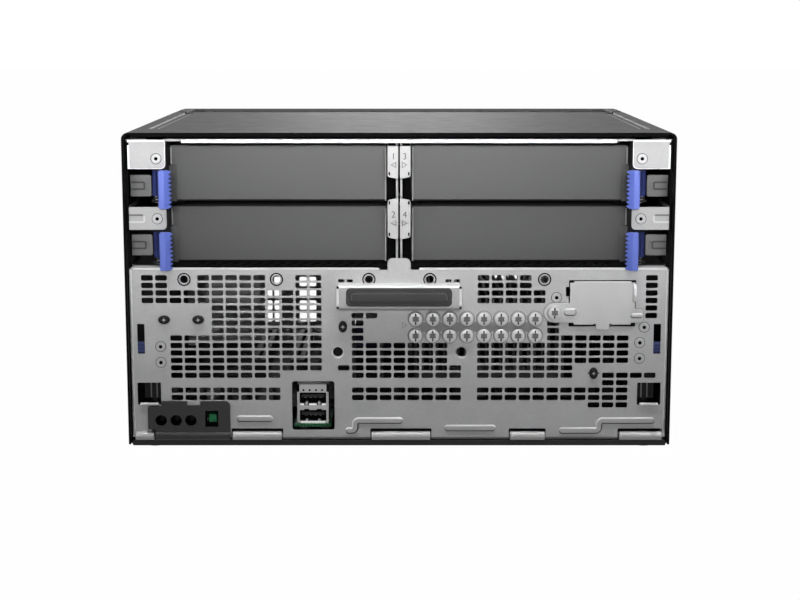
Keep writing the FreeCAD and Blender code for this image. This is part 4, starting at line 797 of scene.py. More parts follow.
def make_piece(name: str, shape: Shape, slot: str, body: str = CHASSIS, replaces: Sequence[str] = (),
               eased: float = 0.0, sharp: float = 20.0, merge_flat: bool = False,
               look: str | None = None) -> None:
    """Turns a shape into a dressed piece that rides on a body.

    Args:
        name: name of the piece.
        shape: its surface.
        slot: record's material slot.
        body: body that carries it.
        replaces: nodes that it stands for.
        eased: width of a bevel along its edges.
        sharp: angle in degrees over which an edge stays sharp.
        merge_flat: whether flat faces are joined first, for shapes made of triangles.
        look: finish to use in place of the slot's own.
    """
    mesh = bpy.data.meshes.new(name)
    mesh.from_pydata(shape.points * MM, [], shape.faces)
    work = bmesh.new()
    work.from_mesh(mesh)
    bmesh.ops.remove_doubles(work, verts=work.verts, dist=WELD)
    if merge_flat:
        bmesh.ops.dissolve_limit(work, angle_limit=FLAT, verts=work.verts, edges=work.edges)
    bmesh.ops.recalc_face_normals(work, faces=work.faces)
    work.to_mesh(mesh)
    work.free()
    mesh.polygons.foreach_set("use_smooth", np.ones(len(mesh.polygons), bool))
    mesh.set_sharp_from_angle(angle=math.radians(sharp))
    piece = bpy.data.objects.new(name, mesh)
    bpy.context.scene.collection.objects.link(piece)
    if eased:
        bevel = piece.modifiers.new("eased_edges", "BEVEL")
        bevel.width = eased * MM
        bevel.segments = 2
        bevel.limit_method = "ANGLE"
        bevel.angle_limit = EASED_OVER
        bevel.harden_normals = True
    finish = look or slot
    mesh.materials.append(FINISHES[finish].material(finish))
    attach(piece, body)
    if replaces:
        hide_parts(*replaces)
    LOG.info("piece %s on %s, %d faces", name, body, len(mesh.polygons))


def slot_of(node: str) -> str:
    """Material slot that the record gives a node."""
    return next(row["material_slot"] for row in frame["record"]["subparts"] if row["node"] == node)


def ease_node(node: str, width: float, patches: Sequence[Patch] = (), look: str | None = None) -> None:
    """Stands a copy of a node in for it, with its edges eased.

    Args:
        node: node to copy.
        width: width of the eased edges.
        patches: stretches that become pieces of their own.
        look: finish of the rest, in place of the slot's own.
    """
    shape = read_mesh(frame["nodes"][node].data, 1 / MM)
    body = frame["nodes"][node]["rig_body"]
    slot = slot_of(node)
    for patch in patches:
        apart, shape = shape.parted(patch.low, patch.high)
        if patch.look:
            name = f"{node}_{patch.name}"
            make_piece(name, apart, slot, body, eased=width, merge_flat=True, look=patch.look)
    make_piece(f"{node}_eased", shape, slot, body, [node], eased=width, merge_flat=True, look=look)


def dress_nodes() -> None:
    """Gives every node of the frame the finish of its slot."""
    for name, node in frame["nodes"].items():
        slot = slot_of(name)
        node.data.materials.clear()
        node.data.materials.append(FINISHES[slot].material(slot))
        LOG.info("node %s takes %s", name, slot)


# Studio

@dataclass(frozen=True)
class Lamp:
    """Soft rectangular lamp: place, aim, size, power in watts and opening of the beam in degrees."""

    name: str
    at: Point
    aim: Point
    size: Span
    power: float
    spread: float

    def build(self) -> None:
        """Adds the lamp, hidden from the camera."""
        data = bpy.data.lights.new(self.name, "AREA")
        data.shape = "RECTANGLE"
        data.size, data.size_y = self.size[0] * MM, self.size[1] * MM
        data.energy = self.power
        data.spread = math.radians(self.spread)
        lamp = bpy.data.objects.new(self.name, data)
        lamp.location = Vector(self.at) * MM
        lamp.rotation_euler = (Vector(self.aim) - Vector(self.at)).to_track_quat("-Z", "Y").to_euler()
        lamp.visible_camera = False
        bpy.context.scene.collection.objects.link(lamp)


@dataclass
class Studio:
    """Pale floor, soft lamps and the camera at the photograph's angle."""

    lens: float = 76.99
    sensor: float = 36.0
    camera_at: Point = (0.43, -889.6, 200.5)
    pitch: float = 9.361
    floor_half: float = 6000.0
    floor_grey: float = 0.25
    floor_white: float = 0.99
    world_level: float = 0.03
    lamps: tuple[Lamp, ...] = (
        Lamp("key", (0.0, -640.0, 240.0), (0.0, -105.0, 226.0), (1000.0, 60.0), 1.06, 43.0),
        Lamp("top_strip", (0.0, -235.0, 430.0), (0.0, -108.0, 5.0), (460.0, 50.0), 0.19, 50.0),
        Lamp("front_fill", (0.0, -1200.0, 300.0), MIDDLE, (900.0, 500.0), 0.25, 120.0),
        Lamp("left_fill", (-1000.0, 250.0, 500.0), MIDDLE, (700.0, 600.0), 1.6, 120.0),
        Lamp("right_fill", (1000.0, 250.0, 500.0), MIDDLE, (700.0, 600.0), 1.6, 120.0),
        Lamp("rear_fill", (0.0, 1100.0, 420.0), MIDDLE, (240.0, 300.0), 0.50, 120.0))

    def build(self) -> None:
        """Makes the camera, world, floor and lamps."""
        scene = bpy.context.scene
        scene.view_settings.view_transform = "Standard"
        data = bpy.data.cameras.new("camera")
        data.lens = self.lens
        data.sensor_width = self.sensor
        camera = bpy.data.objects.new("camera", data)
        camera.location = Vector(self.camera_at) * MM
        camera.rotation_euler = (math.radians(90.0 - self.pitch), 0.0, 0.0)
        scene.collection.objects.link(camera)
        scene.camera = camera
        self._world(scene)
        self._floor(scene)
        for lamp in self.lamps:
            lamp.build()

    @staticmethod
    def _seen(tree: Tree) -> Value:
        """One for camera, mirror and glass rays, and zero for the rays that light the object."""
        rays = [tree.add("ShaderNodeLightPath", output=f"Is {kind} Ray")
                for kind in ("Camera", "Glossy", "Transmission")]
        return rays[0].highest(rays[1]).highest(rays[2])

    def _world(self, scene: bpy.types.Scene) -> None:
        """White to look at, and a plain soft level as light."""
        scene.world = bpy.data.worlds.new("studio")
        tree = Tree(scene.world)
        light, white = (tree.add("ShaderNodeBackground", {}, {0: WHITE, 1: level})
                        for level in (self.world_level, 1.0))
        mixed = tree.add("ShaderNodeMixShader", {}, {0: self._seen(tree), 1: light, 2: white})
        tree.add("ShaderNodeOutputWorld", {}, {0: mixed})

    def _floor(self, scene: bpy.types.Scene) -> None:
        """Plain pale floor that keeps a light shadow."""
        mesh = bpy.data.meshes.new("floor")
        corners = np.array([(-1.0, -1.0, 0.0), (1.0, -1.0, 0.0), (1.0, 1.0, 0.0), (-1.0, 1.0, 0.0)])
        mesh.from_pydata(corners * self.floor_half * MM, [], [[0, 1, 2, 3]])
        floor = bpy.data.objects.new("floor", mesh)
        scene.collection.objects.link(floor)
        paint = bpy.data.materials.new("floor_paint")
        tree = Tree(paint)
        matt = tree.add("ShaderNodeBsdfDiffuse", {}, {0: (*[self.floor_grey] * 3, 1.0)})
        white = tree.add("ShaderNodeEmission", {}, {0: WHITE, 1: 1.0})
        share = self._seen(tree) * self.floor_white
        mixed = tree.add("ShaderNodeMixShader", {}, {0: share, 1: matt, 2: white})
        tree.add("ShaderNodeOutputMaterial", {}, {0: mixed})
        mesh.materials.append(paint)


# Front panel

@dataclass
class FrontPanel:
    """Perforated front sheet with bent rims, pressed beads, rolled tabs and collared holes.

    Each row of vent_rows says how many rows of the vent grid are alike, and which runs of columns are open.
    The collar, sunk rim, groove, line and core are (radius, out) profiles round a hole or a rivet.
    """

    face: float = FRONT_FACE
    top: float = 86.2
    bend: float = 1.4
    top_bend: float = 0.8
    top_gap: float = 0.14
    sheet: float = 1.0
    eased: float = 0.07
    return_deep: float = 10.0
    vent_size: Span = (5.5, 2.65)
    vent_round: float = 0.7
    vent_first: Span = (-117.0, 81.5)
    vent_step: Span = (6.51, 3.55)
    vent_rows: tuple[tuple[int, tuple[tuple[int, int], ...]], ...] = (
        (2, ((0, 1), (4, 8), (11, 12), (24, 27), (36, 36))),
        (2, ((0, 12), (24, 28), (36, 36))),
        (1, ((5, 12), (36, 36))),
        (1, ((5, 12), (15, 16), (36, 36))),
        (2, ((5, 12), (15, 15), (29, 29))),
        (1, ((2, 12), (15, 15), (29, 34))),
        (3, ((2, 12), (15, 21), (24, 34))),
        (1, ((2, 12), (14, 22), (24, 30))),
        (1, ((2, 9), (15, 22), (24, 30), (33, 36))),
        (1, ((33, 34),)),
        (2, ((2, 9), (15, 22), (24, 34))),
        (1, ((32, 34),)))
    ring_holes: Corners = ((-99.8, 80.8), (-56.9, 80.8), (-14.0, 80.8), (14.3, 80.8), (67.5, 80.8))
    ring_radius: float = 3.1
    plain_holes: Corners = ((-28.6, 46.4), (29.1, 46.4))
    plain_radius: float = 2.95
    rolls: tuple[Span, ...] = ((-124.4, -114.5), (-78.8, -54.6), (-13.5, 15.2), (51.6, 69.0), (102.9, 124.4))
    roll_radius: float = 2.05
    roll_gap: float = 9.9
    roll_play: float = 0.6
    foot_from: float = -79.2
    tongue: Span = (5.4, 90.7)
    tongue_round: float = 2.4
    tongue_notch: float = 9.4
    rivets: Corners = ((-111.3, 49.1), (-111.3, 41.6), (73.2, 72.3), (114.2, 58.3), (112.3, 51.0),
                       (112.3, 43.5), (-111.5, 136.8), (-111.5, 109.1), (111.5, 136.8), (111.5, 109.1))
    catch: Window = ((111.6, 122.6), (21.2, 31.9))
    catch_lip: Corners = ((-1.0, 0.0), (1.5, 0.0, 0.6), (1.5, 1.3, 0.5), (0.6, 1.3, 0.3), (0.6, 0.9),
                          (-1.0, 0.9))
    lip_play: Span = (1.2, -1.4)
    slider_slot: Window = ((118.7, 122.1), (45.6, 59.8))
    port_window: Window = ((-50.2, -30.3), (9.1, 32.6))
    status_across: Span = (-116.3, -80.7)
    status_lift: float = 1.6
    status_top: float = 20.6
    hatch_window: Corners = (
        (78.95, 58.65, 0.4), (110.05, 58.65, 0.4), (110.05, 80.45, 0.4), (78.95, 80.45, 0.4), (78.95, 77.3),
        (77.5, 77.3, 0.2), (77.5, 72.8, 0.2), (78.95, 72.8))
    slits: Span = (22.9, 26.9)
    slit_half: float = 1.4
    slit_up: Span = (79.4, 80.9)
    bead_size: Span = (3.1, 0.8)
    bead_light: float = 0.62
    bead_shade: float = 0.56
    bead_lines: tuple[Corners, ...] = (
        ((-76.4, 14.65), (-59.3, 14.65)), ((21.3, 10.15), (45.5, 10.15)),
        ((-25.2, 8.95), (-20.6, 8.95, 1.7), (-20.6, 13.75, 1.7), (1.9, 13.75)),
        ((75.2, 8.95), (94.0, 8.95, 1.7), (94.0, 13.75, 1.7), (120.2, 13.75)))
    collar: Corners = ((3.6, -1.9), (3.6, -1.0), (2.56, -1.0), (2.50, 0.06), (2.40, 0.16), (2.02, 0.16),
                       (1.90, 0.04), (1.86, -1.9))
    sunk_rim: Corners = ((3.4, -1.6), (3.4, -1.0), (3.0, -1.0), (3.0, 0.0), (2.92, 0.02), (2.30, -0.75),
                         (2.24, -1.6))
    groove: Corners = ((2.5, -0.9), (3.16, -0.9), (3.16, -0.04), (2.5, -0.04))
    rivet_line: Corners = ((2.2, 0.0), (2.52, 0.0), (2.52, 0.05), (2.2, 0.05))
    rivet_core: Corners = ((0.84, 0.0), (0.84, 0.50), (TIP, 0.50))

    def __post_init__(self) -> None:
        """Reads the sheet's half width and foot from the frame."""
        low, high = node_box("front_panel")
        self.half, self.foot = high[0], low[2]

    def build(self) -> None:
        """Builds the panel, its bent rims and rolls in lighter and darker copies of the steel (painted
        highlight and shade), painted highlight and shade lines along its beads, and black rings of painted
        shade.
        """
        flat = upright(plate(self._outlines(), self.sheet, self.eased), self.face)
        beads = [upright(bead(line, *self.bead_size), self.face) for line in self.bead_lines]
        pressed = together([flat, self._rings(self.collar, self.ring_holes), *beads])
        make_piece("front_panel_pressed", pressed, "sheet_steel", replaces=["front_panel"])
        # Lighter copies of the steel on the side and top rims, hole rims, lips, rolls and bead slopes are
        # painted highlight; the darker foot rims and bead lines are painted shade.
        rims = [*self._side_rims(), *self._lips(), self._rings(self.sunk_rim, self.plain_holes)]
        looks = {"rims": (rims, "bright_steel"), "top_rim": (self._top_rims(), "rim_steel"),
                 "foot": (self._foot_rims(), "foot_steel"), "rolls": (self._rolls(), "roll_steel"),
                 "bead_lights": (self._bead_lines(-1, self.bead_light), "bright_steel"),
                 "bead_shades": (self._bead_lines(1, self.bead_shade), "groove_grey")}
        for name, (parts, look) in looks.items():
            make_piece(f"front_panel_{name}", together(parts), "sheet_steel", look=look)
        # Black rings here are painted shade; the rivets' cores are their own dark steel.
        make_piece("front_panel_seats", together(self._seats()), "black_plastic", look="cover_edge")

    def _outlines(self) -> list[Array]:
        """Rim of the flat sheet, then all its openings."""
        edge, low, high = self._flat()
        x, tip = self.tongue
        rim = [(-edge, low), (edge, low), (edge, high), (x, high), (x, tip, self.tongue_round),
               (-x, tip, self.tongue_round), (-x, high), (-edge, high)]
        outlines = [rounded(rim), *self._vents()]
        outlines += [circle(hole, self.ring_radius) for hole in self.ring_holes]
        outlines += [circle(hole, self.plain_radius) for hole in self.plain_holes]
        outlines.append(rect(*self.port_window, 1.2))
        outlines.append(rect(self.status_across, (self.foot + self.status_lift, self.status_top)))
        outlines.append(rounded(self.hatch_window))
        for side in (-1, 1):
            for across, up in (self.catch, self.slider_slot):
                outlines.append(rect((side * across[0], side * across[1]), up, 0.25))
            for x in self.slits:
                across = (side * x - self.slit_half, side * x + self.slit_half)
                outlines.append(rect(across, self.slit_up, 0.5))
        for across in self.rolls[1:]:
            outlines.append(rect((across[0], min(across[1], edge - 0.2)), (low + 0.1, self.roll_gap), 0.5))
        return outlines

    def _flat(self) -> tuple[float, float, float]:
        """Side edge, foot and top of the sheet's flat face, between its bends."""
        return self.half - self.bend, self.foot + self.bend, self.top - self.top_bend - self.top_gap

    def _vents(self) -> list[Array]:
        """Outlines of the vent slots: one slot moved to each open place of the grid."""
        (wide, tall), (x, z), (dx, dz) = self.vent_size, self.vent_first, self.vent_step
        slot = rect((-wide / 2, wide / 2), (-tall / 2, tall / 2), self.vent_round, 3)
        rows = [runs for count, runs in self.vent_rows for _ in range(count)]
        places = [(x + column * dx, z - row * dz) for row, runs in enumerate(rows)
                  for first, last in runs for column in range(first, last + 1)]
        return list(slot[None] + np.array(places)[:, None])

    def _bent_rim(self, bend: float) -> Array:
        """Section of a bent rim: a quarter ring and a straight return, as (towards the rim, depth)."""
        angle = np.linspace(0.0, np.pi / 2, 7)
        outer = np.column_stack((np.sin(angle), 1 - np.cos(angle))) * bend
        inside = 0.3 * bend
        inner = np.column_stack((np.sin(angle) * inside, bend - np.cos(angle) * inside))
        return np.vstack((outer, [(bend, self.return_deep), (inside, self.return_deep)], inner[::-1]))

    def _strip(self, start: Span, end: Span, outward: Span, bend: float) -> Shape:
        """Bent rim along a straight line of the sheet, from start to end as (across, up)."""
        section = self._bent_rim(bend)
        ends = np.array((start, end), float)[:, None]
        flat = ends + section[None, :, :1] * np.array(outward)
        depth = np.broadcast_to(section[None, :, 1:], (2, len(section), 1))
        return upright(stack(np.concatenate((flat, -depth), axis=-1)), self.face)

    def _side_rims(self) -> list[Shape]:
        """Bent rims at both sides."""
        edge, low, high = self._flat()
        return [self._strip((side * edge, low), (side * edge, high), (side, 0.0), self.bend)
                for side in (-1, 1)]

    def _top_rims(self) -> list[Shape]:
        """Bent rims along the top, left out at the tongue."""
        edge, _, high = self._flat()
        notch, crease = self.tongue_notch, high + self.top_gap
        return [self._strip((side * notch, crease), (side * edge, crease), (0.0, 1.0), self.top_bend)
                for side in (-1, 1)]

    def _foot_rims(self) -> list[Shape]:
        """Bent rims along the foot, between the rolled tabs."""
        low = self._flat()[1]
        marks = [self.foot_from, *[x for roll in self.rolls[1:] for x in roll]]
        return [self._strip((start, low), (end, low), (0.0, -1.0), self.bend)
                for start, end in zip(marks[0::2], marks[1::2]) if end - start > 1.0]

    def _bead_lines(self, side: int, reach: float) -> list[Shape]:
        """Thin skins over one slope of every bead: painted highlight lines on the left slopes, painted shade
        lines on the right.
        """
        return [upright(bead_line(line, *self.bead_size, side, reach), self.face) for line in self.bead_lines]

    def _seats(self) -> list[Shape]:
        """Black rings of painted shade in the collared holes and round the rivets, and the rivets' broken-off
        cores.
        """
        cores = upright(turned(self.rivet_core, 20).repeated(self.rivets), self.face)
        rings = self._rings(self.groove, self.ring_holes), self._rings(self.rivet_line, self.rivets)
        return [*rings, cores]

    def _rolls(self) -> list[Shape]:
        """Tabs rolled forward out of the foot: a half ring carried along each tab."""
        radius, inside = self.roll_radius, self.roll_radius - self.sheet
        angle = np.linspace(-np.pi / 2, np.pi / 2, 15)
        ring = np.column_stack((np.cos(angle), np.sin(angle)))
        back = [(-self.return_deep, -inside), (-self.return_deep, -radius)]
        section = np.vstack((ring * radius, ring[::-1] * inside, back))
        section = section * (-1.0, 1.0) + (self.face, self.foot + radius)
        edge = self._flat()[0]
        return [spanned(section, (start + self.roll_play, min(end, edge) - self.roll_play))
                for start, end in self.rolls]

    def _rings(self, profile: Corners, holes: Corners) -> Shape:
        """Rings of one profile (radius, out) round all the holes."""
        return upright(hoop(profile).repeated(holes), self.face)

    def _lips(self) -> list[Shape]:
        """Bent lips at the foot of the catch windows."""
        across, up = self.catch
        section = rounded(self.catch_lip) * (-1.0, 1.0) + (self.face, up[0])
        lip = spanned(section, (across[0] + self.lip_play[0], across[1] + self.lip_play[1]))
        return [lip, lip.mirrored()]


# Fasteners

@dataclass
class Fasteners:
    """Screw heads with their drives, rivets and the knurled thumb screws.

    A dome is (share of the radius, share of the height), and a depth is measured down from a head's top.
    """

    count: int = 96
    dome: Corners = ((1.0, 0.0), (1.0, 0.42), (0.965, 0.66), (0.89, 0.86), (0.80, 0.97), (0.76, 1.0))
    taper: float = 0.93
    flat_dome: Corners = ((1.0, 0.0), (1.0, 0.6), (0.985, 0.82), (0.95, 0.95), (0.90, 1.0))
    recess_deep: float = 0.9
    floor_deep: Span = (0.8, 0.16)
    notch_deep: Span = (0.8, 0.3)
    head_radius: float = 3.3
    head_high: float = 2.2
    rows: int = 2
    columns: int = 8
    first: Span = (7.7, 62.4)
    step: Span = (7.95, -7.9)
    hatch_screw: Point = (72.2, 65.5, 1.0)
    lobes: Span = (1.50, 0.15)
    notch: Span = (2.6, 0.32)
    seat: Corners = ((3.2, -0.1), (3.8, -0.1), (3.8, 0.02), (3.2, 0.05))
    shade: Window = ((7.7, 63.35), (56.2, 60.7))
    arrow: Span = (2.3, 59.3)
    arrow_reach: float = 1.5
    oval: Span = (2.75, 2.05)
    oval_high: float = 1.6
    wide_spots: Corners = ((-109.4, 61.9), (-93.5, 61.9))
    tall_spots: Corners = ((-26.2, 58.6), (91.0, 36.5))
    slit: Corners = ((1.6, -0.6), (3.1, 0.0), (1.6, 0.6))
    panel_cross: Span = (1.15, 0.26)
    fan_cross: Span = (2.0, 0.36)
    fan_radius: float = 3.6
    rivet: Corners = ((2.3, 0.0), (2.3, 0.22), (2.16, 0.36), (2.0, 0.36), (1.9, 0.26), (1.78, 0.40),
                      (1.0, 0.48), (0.82, 0.40), (0.78, -0.6), (TIP, -0.6))
    thumb_seat: float = 107.0
    thumb_radius: float = 5.2
    knurl: Span = (24, 0.035)

    def build(self) -> None:
        """Builds the pieces of each kind of fastener."""
        self._drive_screws()
        self._panel_screws()
        self._rivets()
        self._fan_screws()
        self._thumb_screws()

    def _angle(self) -> Array:
        """Angles of a head's loops."""
        return np.linspace(0.0, 2 * np.pi, self.count, endpoint=False)

    def _slot(self, reach: float, half: float, turn: float = 0.0) -> Array:
        """Polar outline of a straight slot: half its width over the cosine, and at most its reach."""
        return np.minimum(reach, half / np.maximum(np.abs(np.cos(self._angle() - turn)), 1e-3))

    def _cross(self, reach: float, half: float) -> Array:
        """Polar outline of two crossed slots."""
        return np.maximum(self._slot(reach, half), self._slot(reach, half, np.pi / 2))

    def _head(self, recess: Array, radius: Array | float, high: float, deep: float) -> Shape:
        """Domed head whose recess follows a polar outline."""
        rim = np.ones(self.count) * radius
        levels = [(share * rim, rise * high) for share, rise in self.dome]
        foot = high - deep
        return lobed([*levels, (recess, high), (self.taper * recess, foot), (TIP * recess, foot)])

    def _drive_screws(self) -> None:
        """Spare drive screws in two rows and the hatch screw, each with a six-lobe and slot drive; grey
        floors and black slots of painted shade in the drives, rings and a strip of painted shade round and
        between the heads, and a printed arrow.
        """
        high = self.head_high
        mean, swing = self.lobes
        lobes = mean * (1 - swing * np.cos(6 * self._angle()))
        reach, half = self.notch
        recess = np.maximum(lobes, self._slot(reach, half))
        rim, deep = np.ones(self.count) * self.head_radius, high - self.recess_deep
        levels = [(share * rim, rise * high) for share, rise in self.flat_dome]
        head = lobed([*levels, (recess, high), (recess, deep), (TIP * recess, deep)])
        foot, face = (high - down for down in self.floor_deep)
        floor = lobed([(lobes, foot), (lobes, face), (TIP * lobes, face)])
        foot, face = (high - down for down in self.notch_deep)
        notch = prism(rect((-half, half), (-reach, reach), 0.1), foot, face)
        spots = [(self.first[0] + i * self.step[0], self.first[1] + j * self.step[1])
                 for j in range(self.rows) for i in range(self.columns)]
        screws, floors, notches = (upright(part.repeated([*spots, self.hatch_screw]), FRONT_FACE)
                                   for part in (head, floor, notch))
        make_piece("drive_screws_driven", screws, "screw_steel", replaces=["drive_screws"], sharp=40.0)
        # Grey recess floors and black slots: painted shade in the drives.
        make_piece("drive_screw_recesses", floors, "screw_steel", look="recess_grey", sharp=40.0)
        make_piece("drive_screw_notches", notches, "black_plastic", look="cover_edge")
        # Rings round the heads and a strip between the rows: painted shade.
        seats = upright(hoop(self.seat).repeated(spots), FRONT_FACE)
        make_piece("drive_screw_seats", seats, "sheet_steel", look="arrow_grey")
        shade = upright(prism(rect(*self.shade, 1.0), -0.1, 0.015), FRONT_FACE)
        make_piece("drive_screw_shade", shade, "sheet_steel", look="foot_steel")
        arrow = upright(outline_arrow(1, self.arrow, self.arrow_reach), FRONT_FACE - 0.04)
        make_piece("drive_screw_arrow", arrow, "black_plastic", look="arrow_grey")

    def _oval(self, across: float, up: float) -> Array:
        """Polar outline of an ellipse: the product of its half sizes over the length of their cross mix."""
        angle = self._angle()
        return across * up / np.hypot(up * np.cos(angle), across * np.sin(angle))

    def _panel_screws(self) -> None:
        """Dark oval screws of the front panel with bright crosses as painted highlight, and black pointed
        slits of painted shade beside the last.
        """
        recess = self._cross(*self.panel_cross)
        wide, tall = (self._head(recess, self._oval(*sizes), self.oval_high, 0.5)
                      for sizes in (self.oval, self.oval[::-1]))
        screws = wide.repeated(self.wide_spots) + tall.repeated(self.tall_spots)
        cross = lobed([(0.62 * recess, 1.0), (0.62 * recess, 1.25), (TIP * recess, 1.25)])
        crosses = cross.repeated([*self.wide_spots, *self.tall_spots])
        slits = prism(np.array(self.slit), -0.2, 0.05).paired().repeated(self.tall_spots[1:])
        screws, crosses, slits = (upright(part, FRONT_FACE) for part in (screws, crosses, slits))
        make_piece("panel_screws_driven", screws, "dark_screw", replaces=["panel_screws"], sharp=40.0)
        # Bright crosses in the dark heads: painted highlight.
        make_piece("panel_screw_crosses", crosses, "screw_steel", sharp=40.0)
        # Black slits: painted shade.
        make_piece("panel_screw_slits", slits, "black_plastic")

    def _rivets(self) -> None:
        """Flanged rivets with a small dark bore."""
        rivets = upright(turned(self.rivet, 36).repeated(FrontPanel.rivets), FRONT_FACE)
        make_piece("rivets_flanged", rivets, "rivet_steel", replaces=["rivets"], sharp=40.0)

    def _fan_screws(self) -> None:
        """Cross-head screws of the fan, on the rear panel."""
        low, high = node_box("fan_screws")
        inset = self.fan_radius
        head = self._head(self._cross(*self.fan_cross), inset, high[1] - low[1], 1.0)
        spots = [(x, z) for x in (low[0] + inset, high[0] - inset) for z in (low[2] + inset, high[2] - inset)]
        screws = upright(head.repeated(spots), low[1], Facing.REAR)
        make_piece("fan_screws_driven", screws, "screw_steel", replaces=["fan_screws"], sharp=40.0)

    def _thumb_screws(self) -> None:
        """Knurled heads: the radius swings with a steep wave of the angle."""
        low, high = node_box("thumb_screws")
        teeth, swing = self.knurl
        smooth = np.ones(240)
        knurl = 1 + swing * np.tanh(2.5 * np.sin(teeth * np.linspace(0.0, 2 * np.pi, 240, endpoint=False)))
        foot, tip = low[1] - self.thumb_seat, high[1] - self.thumb_seat
        rows = [(1.5 * smooth, foot), (1.5 * smooth, 0.0), (4.4 * smooth, 0.0), (4.8 * knurl, 0.5),
                (5.0 * knurl, 0.9), (5.0 * knurl, tip - 1.0), (4.6 * knurl, tip - 0.5), (4.1 * smooth, tip),
                (3.2 * smooth, tip), (2.9 * smooth, tip - 0.5), (TIP * smooth, tip - 0.5)]
        x, z = (high[0] - low[0]) / 2 - self.thumb_radius, (low[2] + high[2]) / 2
        screws = upright(lobed(rows).repeated([(-x, z), (x, z)]), self.thumb_seat, Facing.REAR)
        make_piece("thumb_screws_knurled", screws, "black_plastic", "cover", ["thumb_screws"], sharp=45.0)


# Handle and hatch

@dataclass
class Handle:
    """Folded bracket with a soft, raised grip.

    The base and pad levels are the (inset, out) steps of the grip's two mouldings.
    """

    face: float = -111.5
    half_wide: float = 24.4
    low: float = 69.2
    high: float = 77.8
    rim: float = 2.0
    step_in: float = 1.7
    pad_round: float = 1.9
    base_levels: Corners = ((0.0, 0.0), (0.0, 0.5), (0.12, 0.75), (0.4, 0.9), (1.4, 0.95))
    pad_levels: Corners = ((0.0, 0.3), (0.0, 1.25), (0.15, 1.6), (0.5, 1.87), (1.0, 1.96), (1.6, 2.0))
    line_in: Point = (0.7, 1.2, 0.55)
    line_round: float = 1.4
    line_size: Span = (0.5, 0.1)
    line_out: float = 1.86
    end: Spans = ((27.8, 29.05), (-111.55, -110.7), (69.4, 77.2))
    relief_x: float = 28.3
    relief_z: Span = (68.5, 78.0)
    relief: Corners = ((0.62, -0.3), (0.62, 0.06), (TIP, 0.06))
    # The bracket's cheeks and top fold take a lighter steel: painted highlight.
    cheek: Patch = Patch("cheek", (28.15, -120.0, 60.0), (40.0, -104.0, 90.0), "bright_steel")
    fold: Patch = Patch("fold", (-40.0, -120.0, 77.3), (40.0, -104.0, 90.0), "bright_steel")

    def build(self) -> None:
        """Builds the bracket with painted highlights on its fold, cheeks and ends, the grip with a painted
        highlight line along its edge, and black dots of painted shade at the corner reliefs of the bends.
        """
        ease_node("handle_bracket", 0.15, [self.fold, self.cheek, self.cheek.mirrored()])
        half, low, high, step = self.half_wide, self.low, self.high, self.step_in
        outline = rect((-half, half), (low, high), self.rim, 6)
        middle = rect((step - half, half - step), (low + step, high - step), self.pad_round, 6)
        grip = terraced(outline, self.base_levels) + terraced(middle, self.pad_levels)
        make_piece("handle_grip_soft", upright(grip, self.face), "grip_plastic", replaces=["handle_grip"])
        side, foot, top = self.line_in
        x, foot, top, bend = half - step - side, low + step + foot, high - step - top, self.line_round
        line = bead([(-x, foot), (-x, top, bend), (x, top, bend), (x, foot)], *self.line_size)
        make_piece("handle_grip_line", upright(line, self.face - self.line_out), "grip_plastic",
                   look="grip_line")
        # Bright blocks at the bent ends: painted highlight.
        make_piece("handle_ends", block(*self.end).paired(), "sheet_steel", look="bright_steel", eased=0.15)
        # Black dots at the corner reliefs: painted shade.
        spots = [(side * self.relief_x, z) for side in (-1, 1) for z in self.relief_z]
        dots = turned(self.relief, 16).repeated(spots)
        make_piece("handle_reliefs", upright(dots, self.face), "black_plastic")


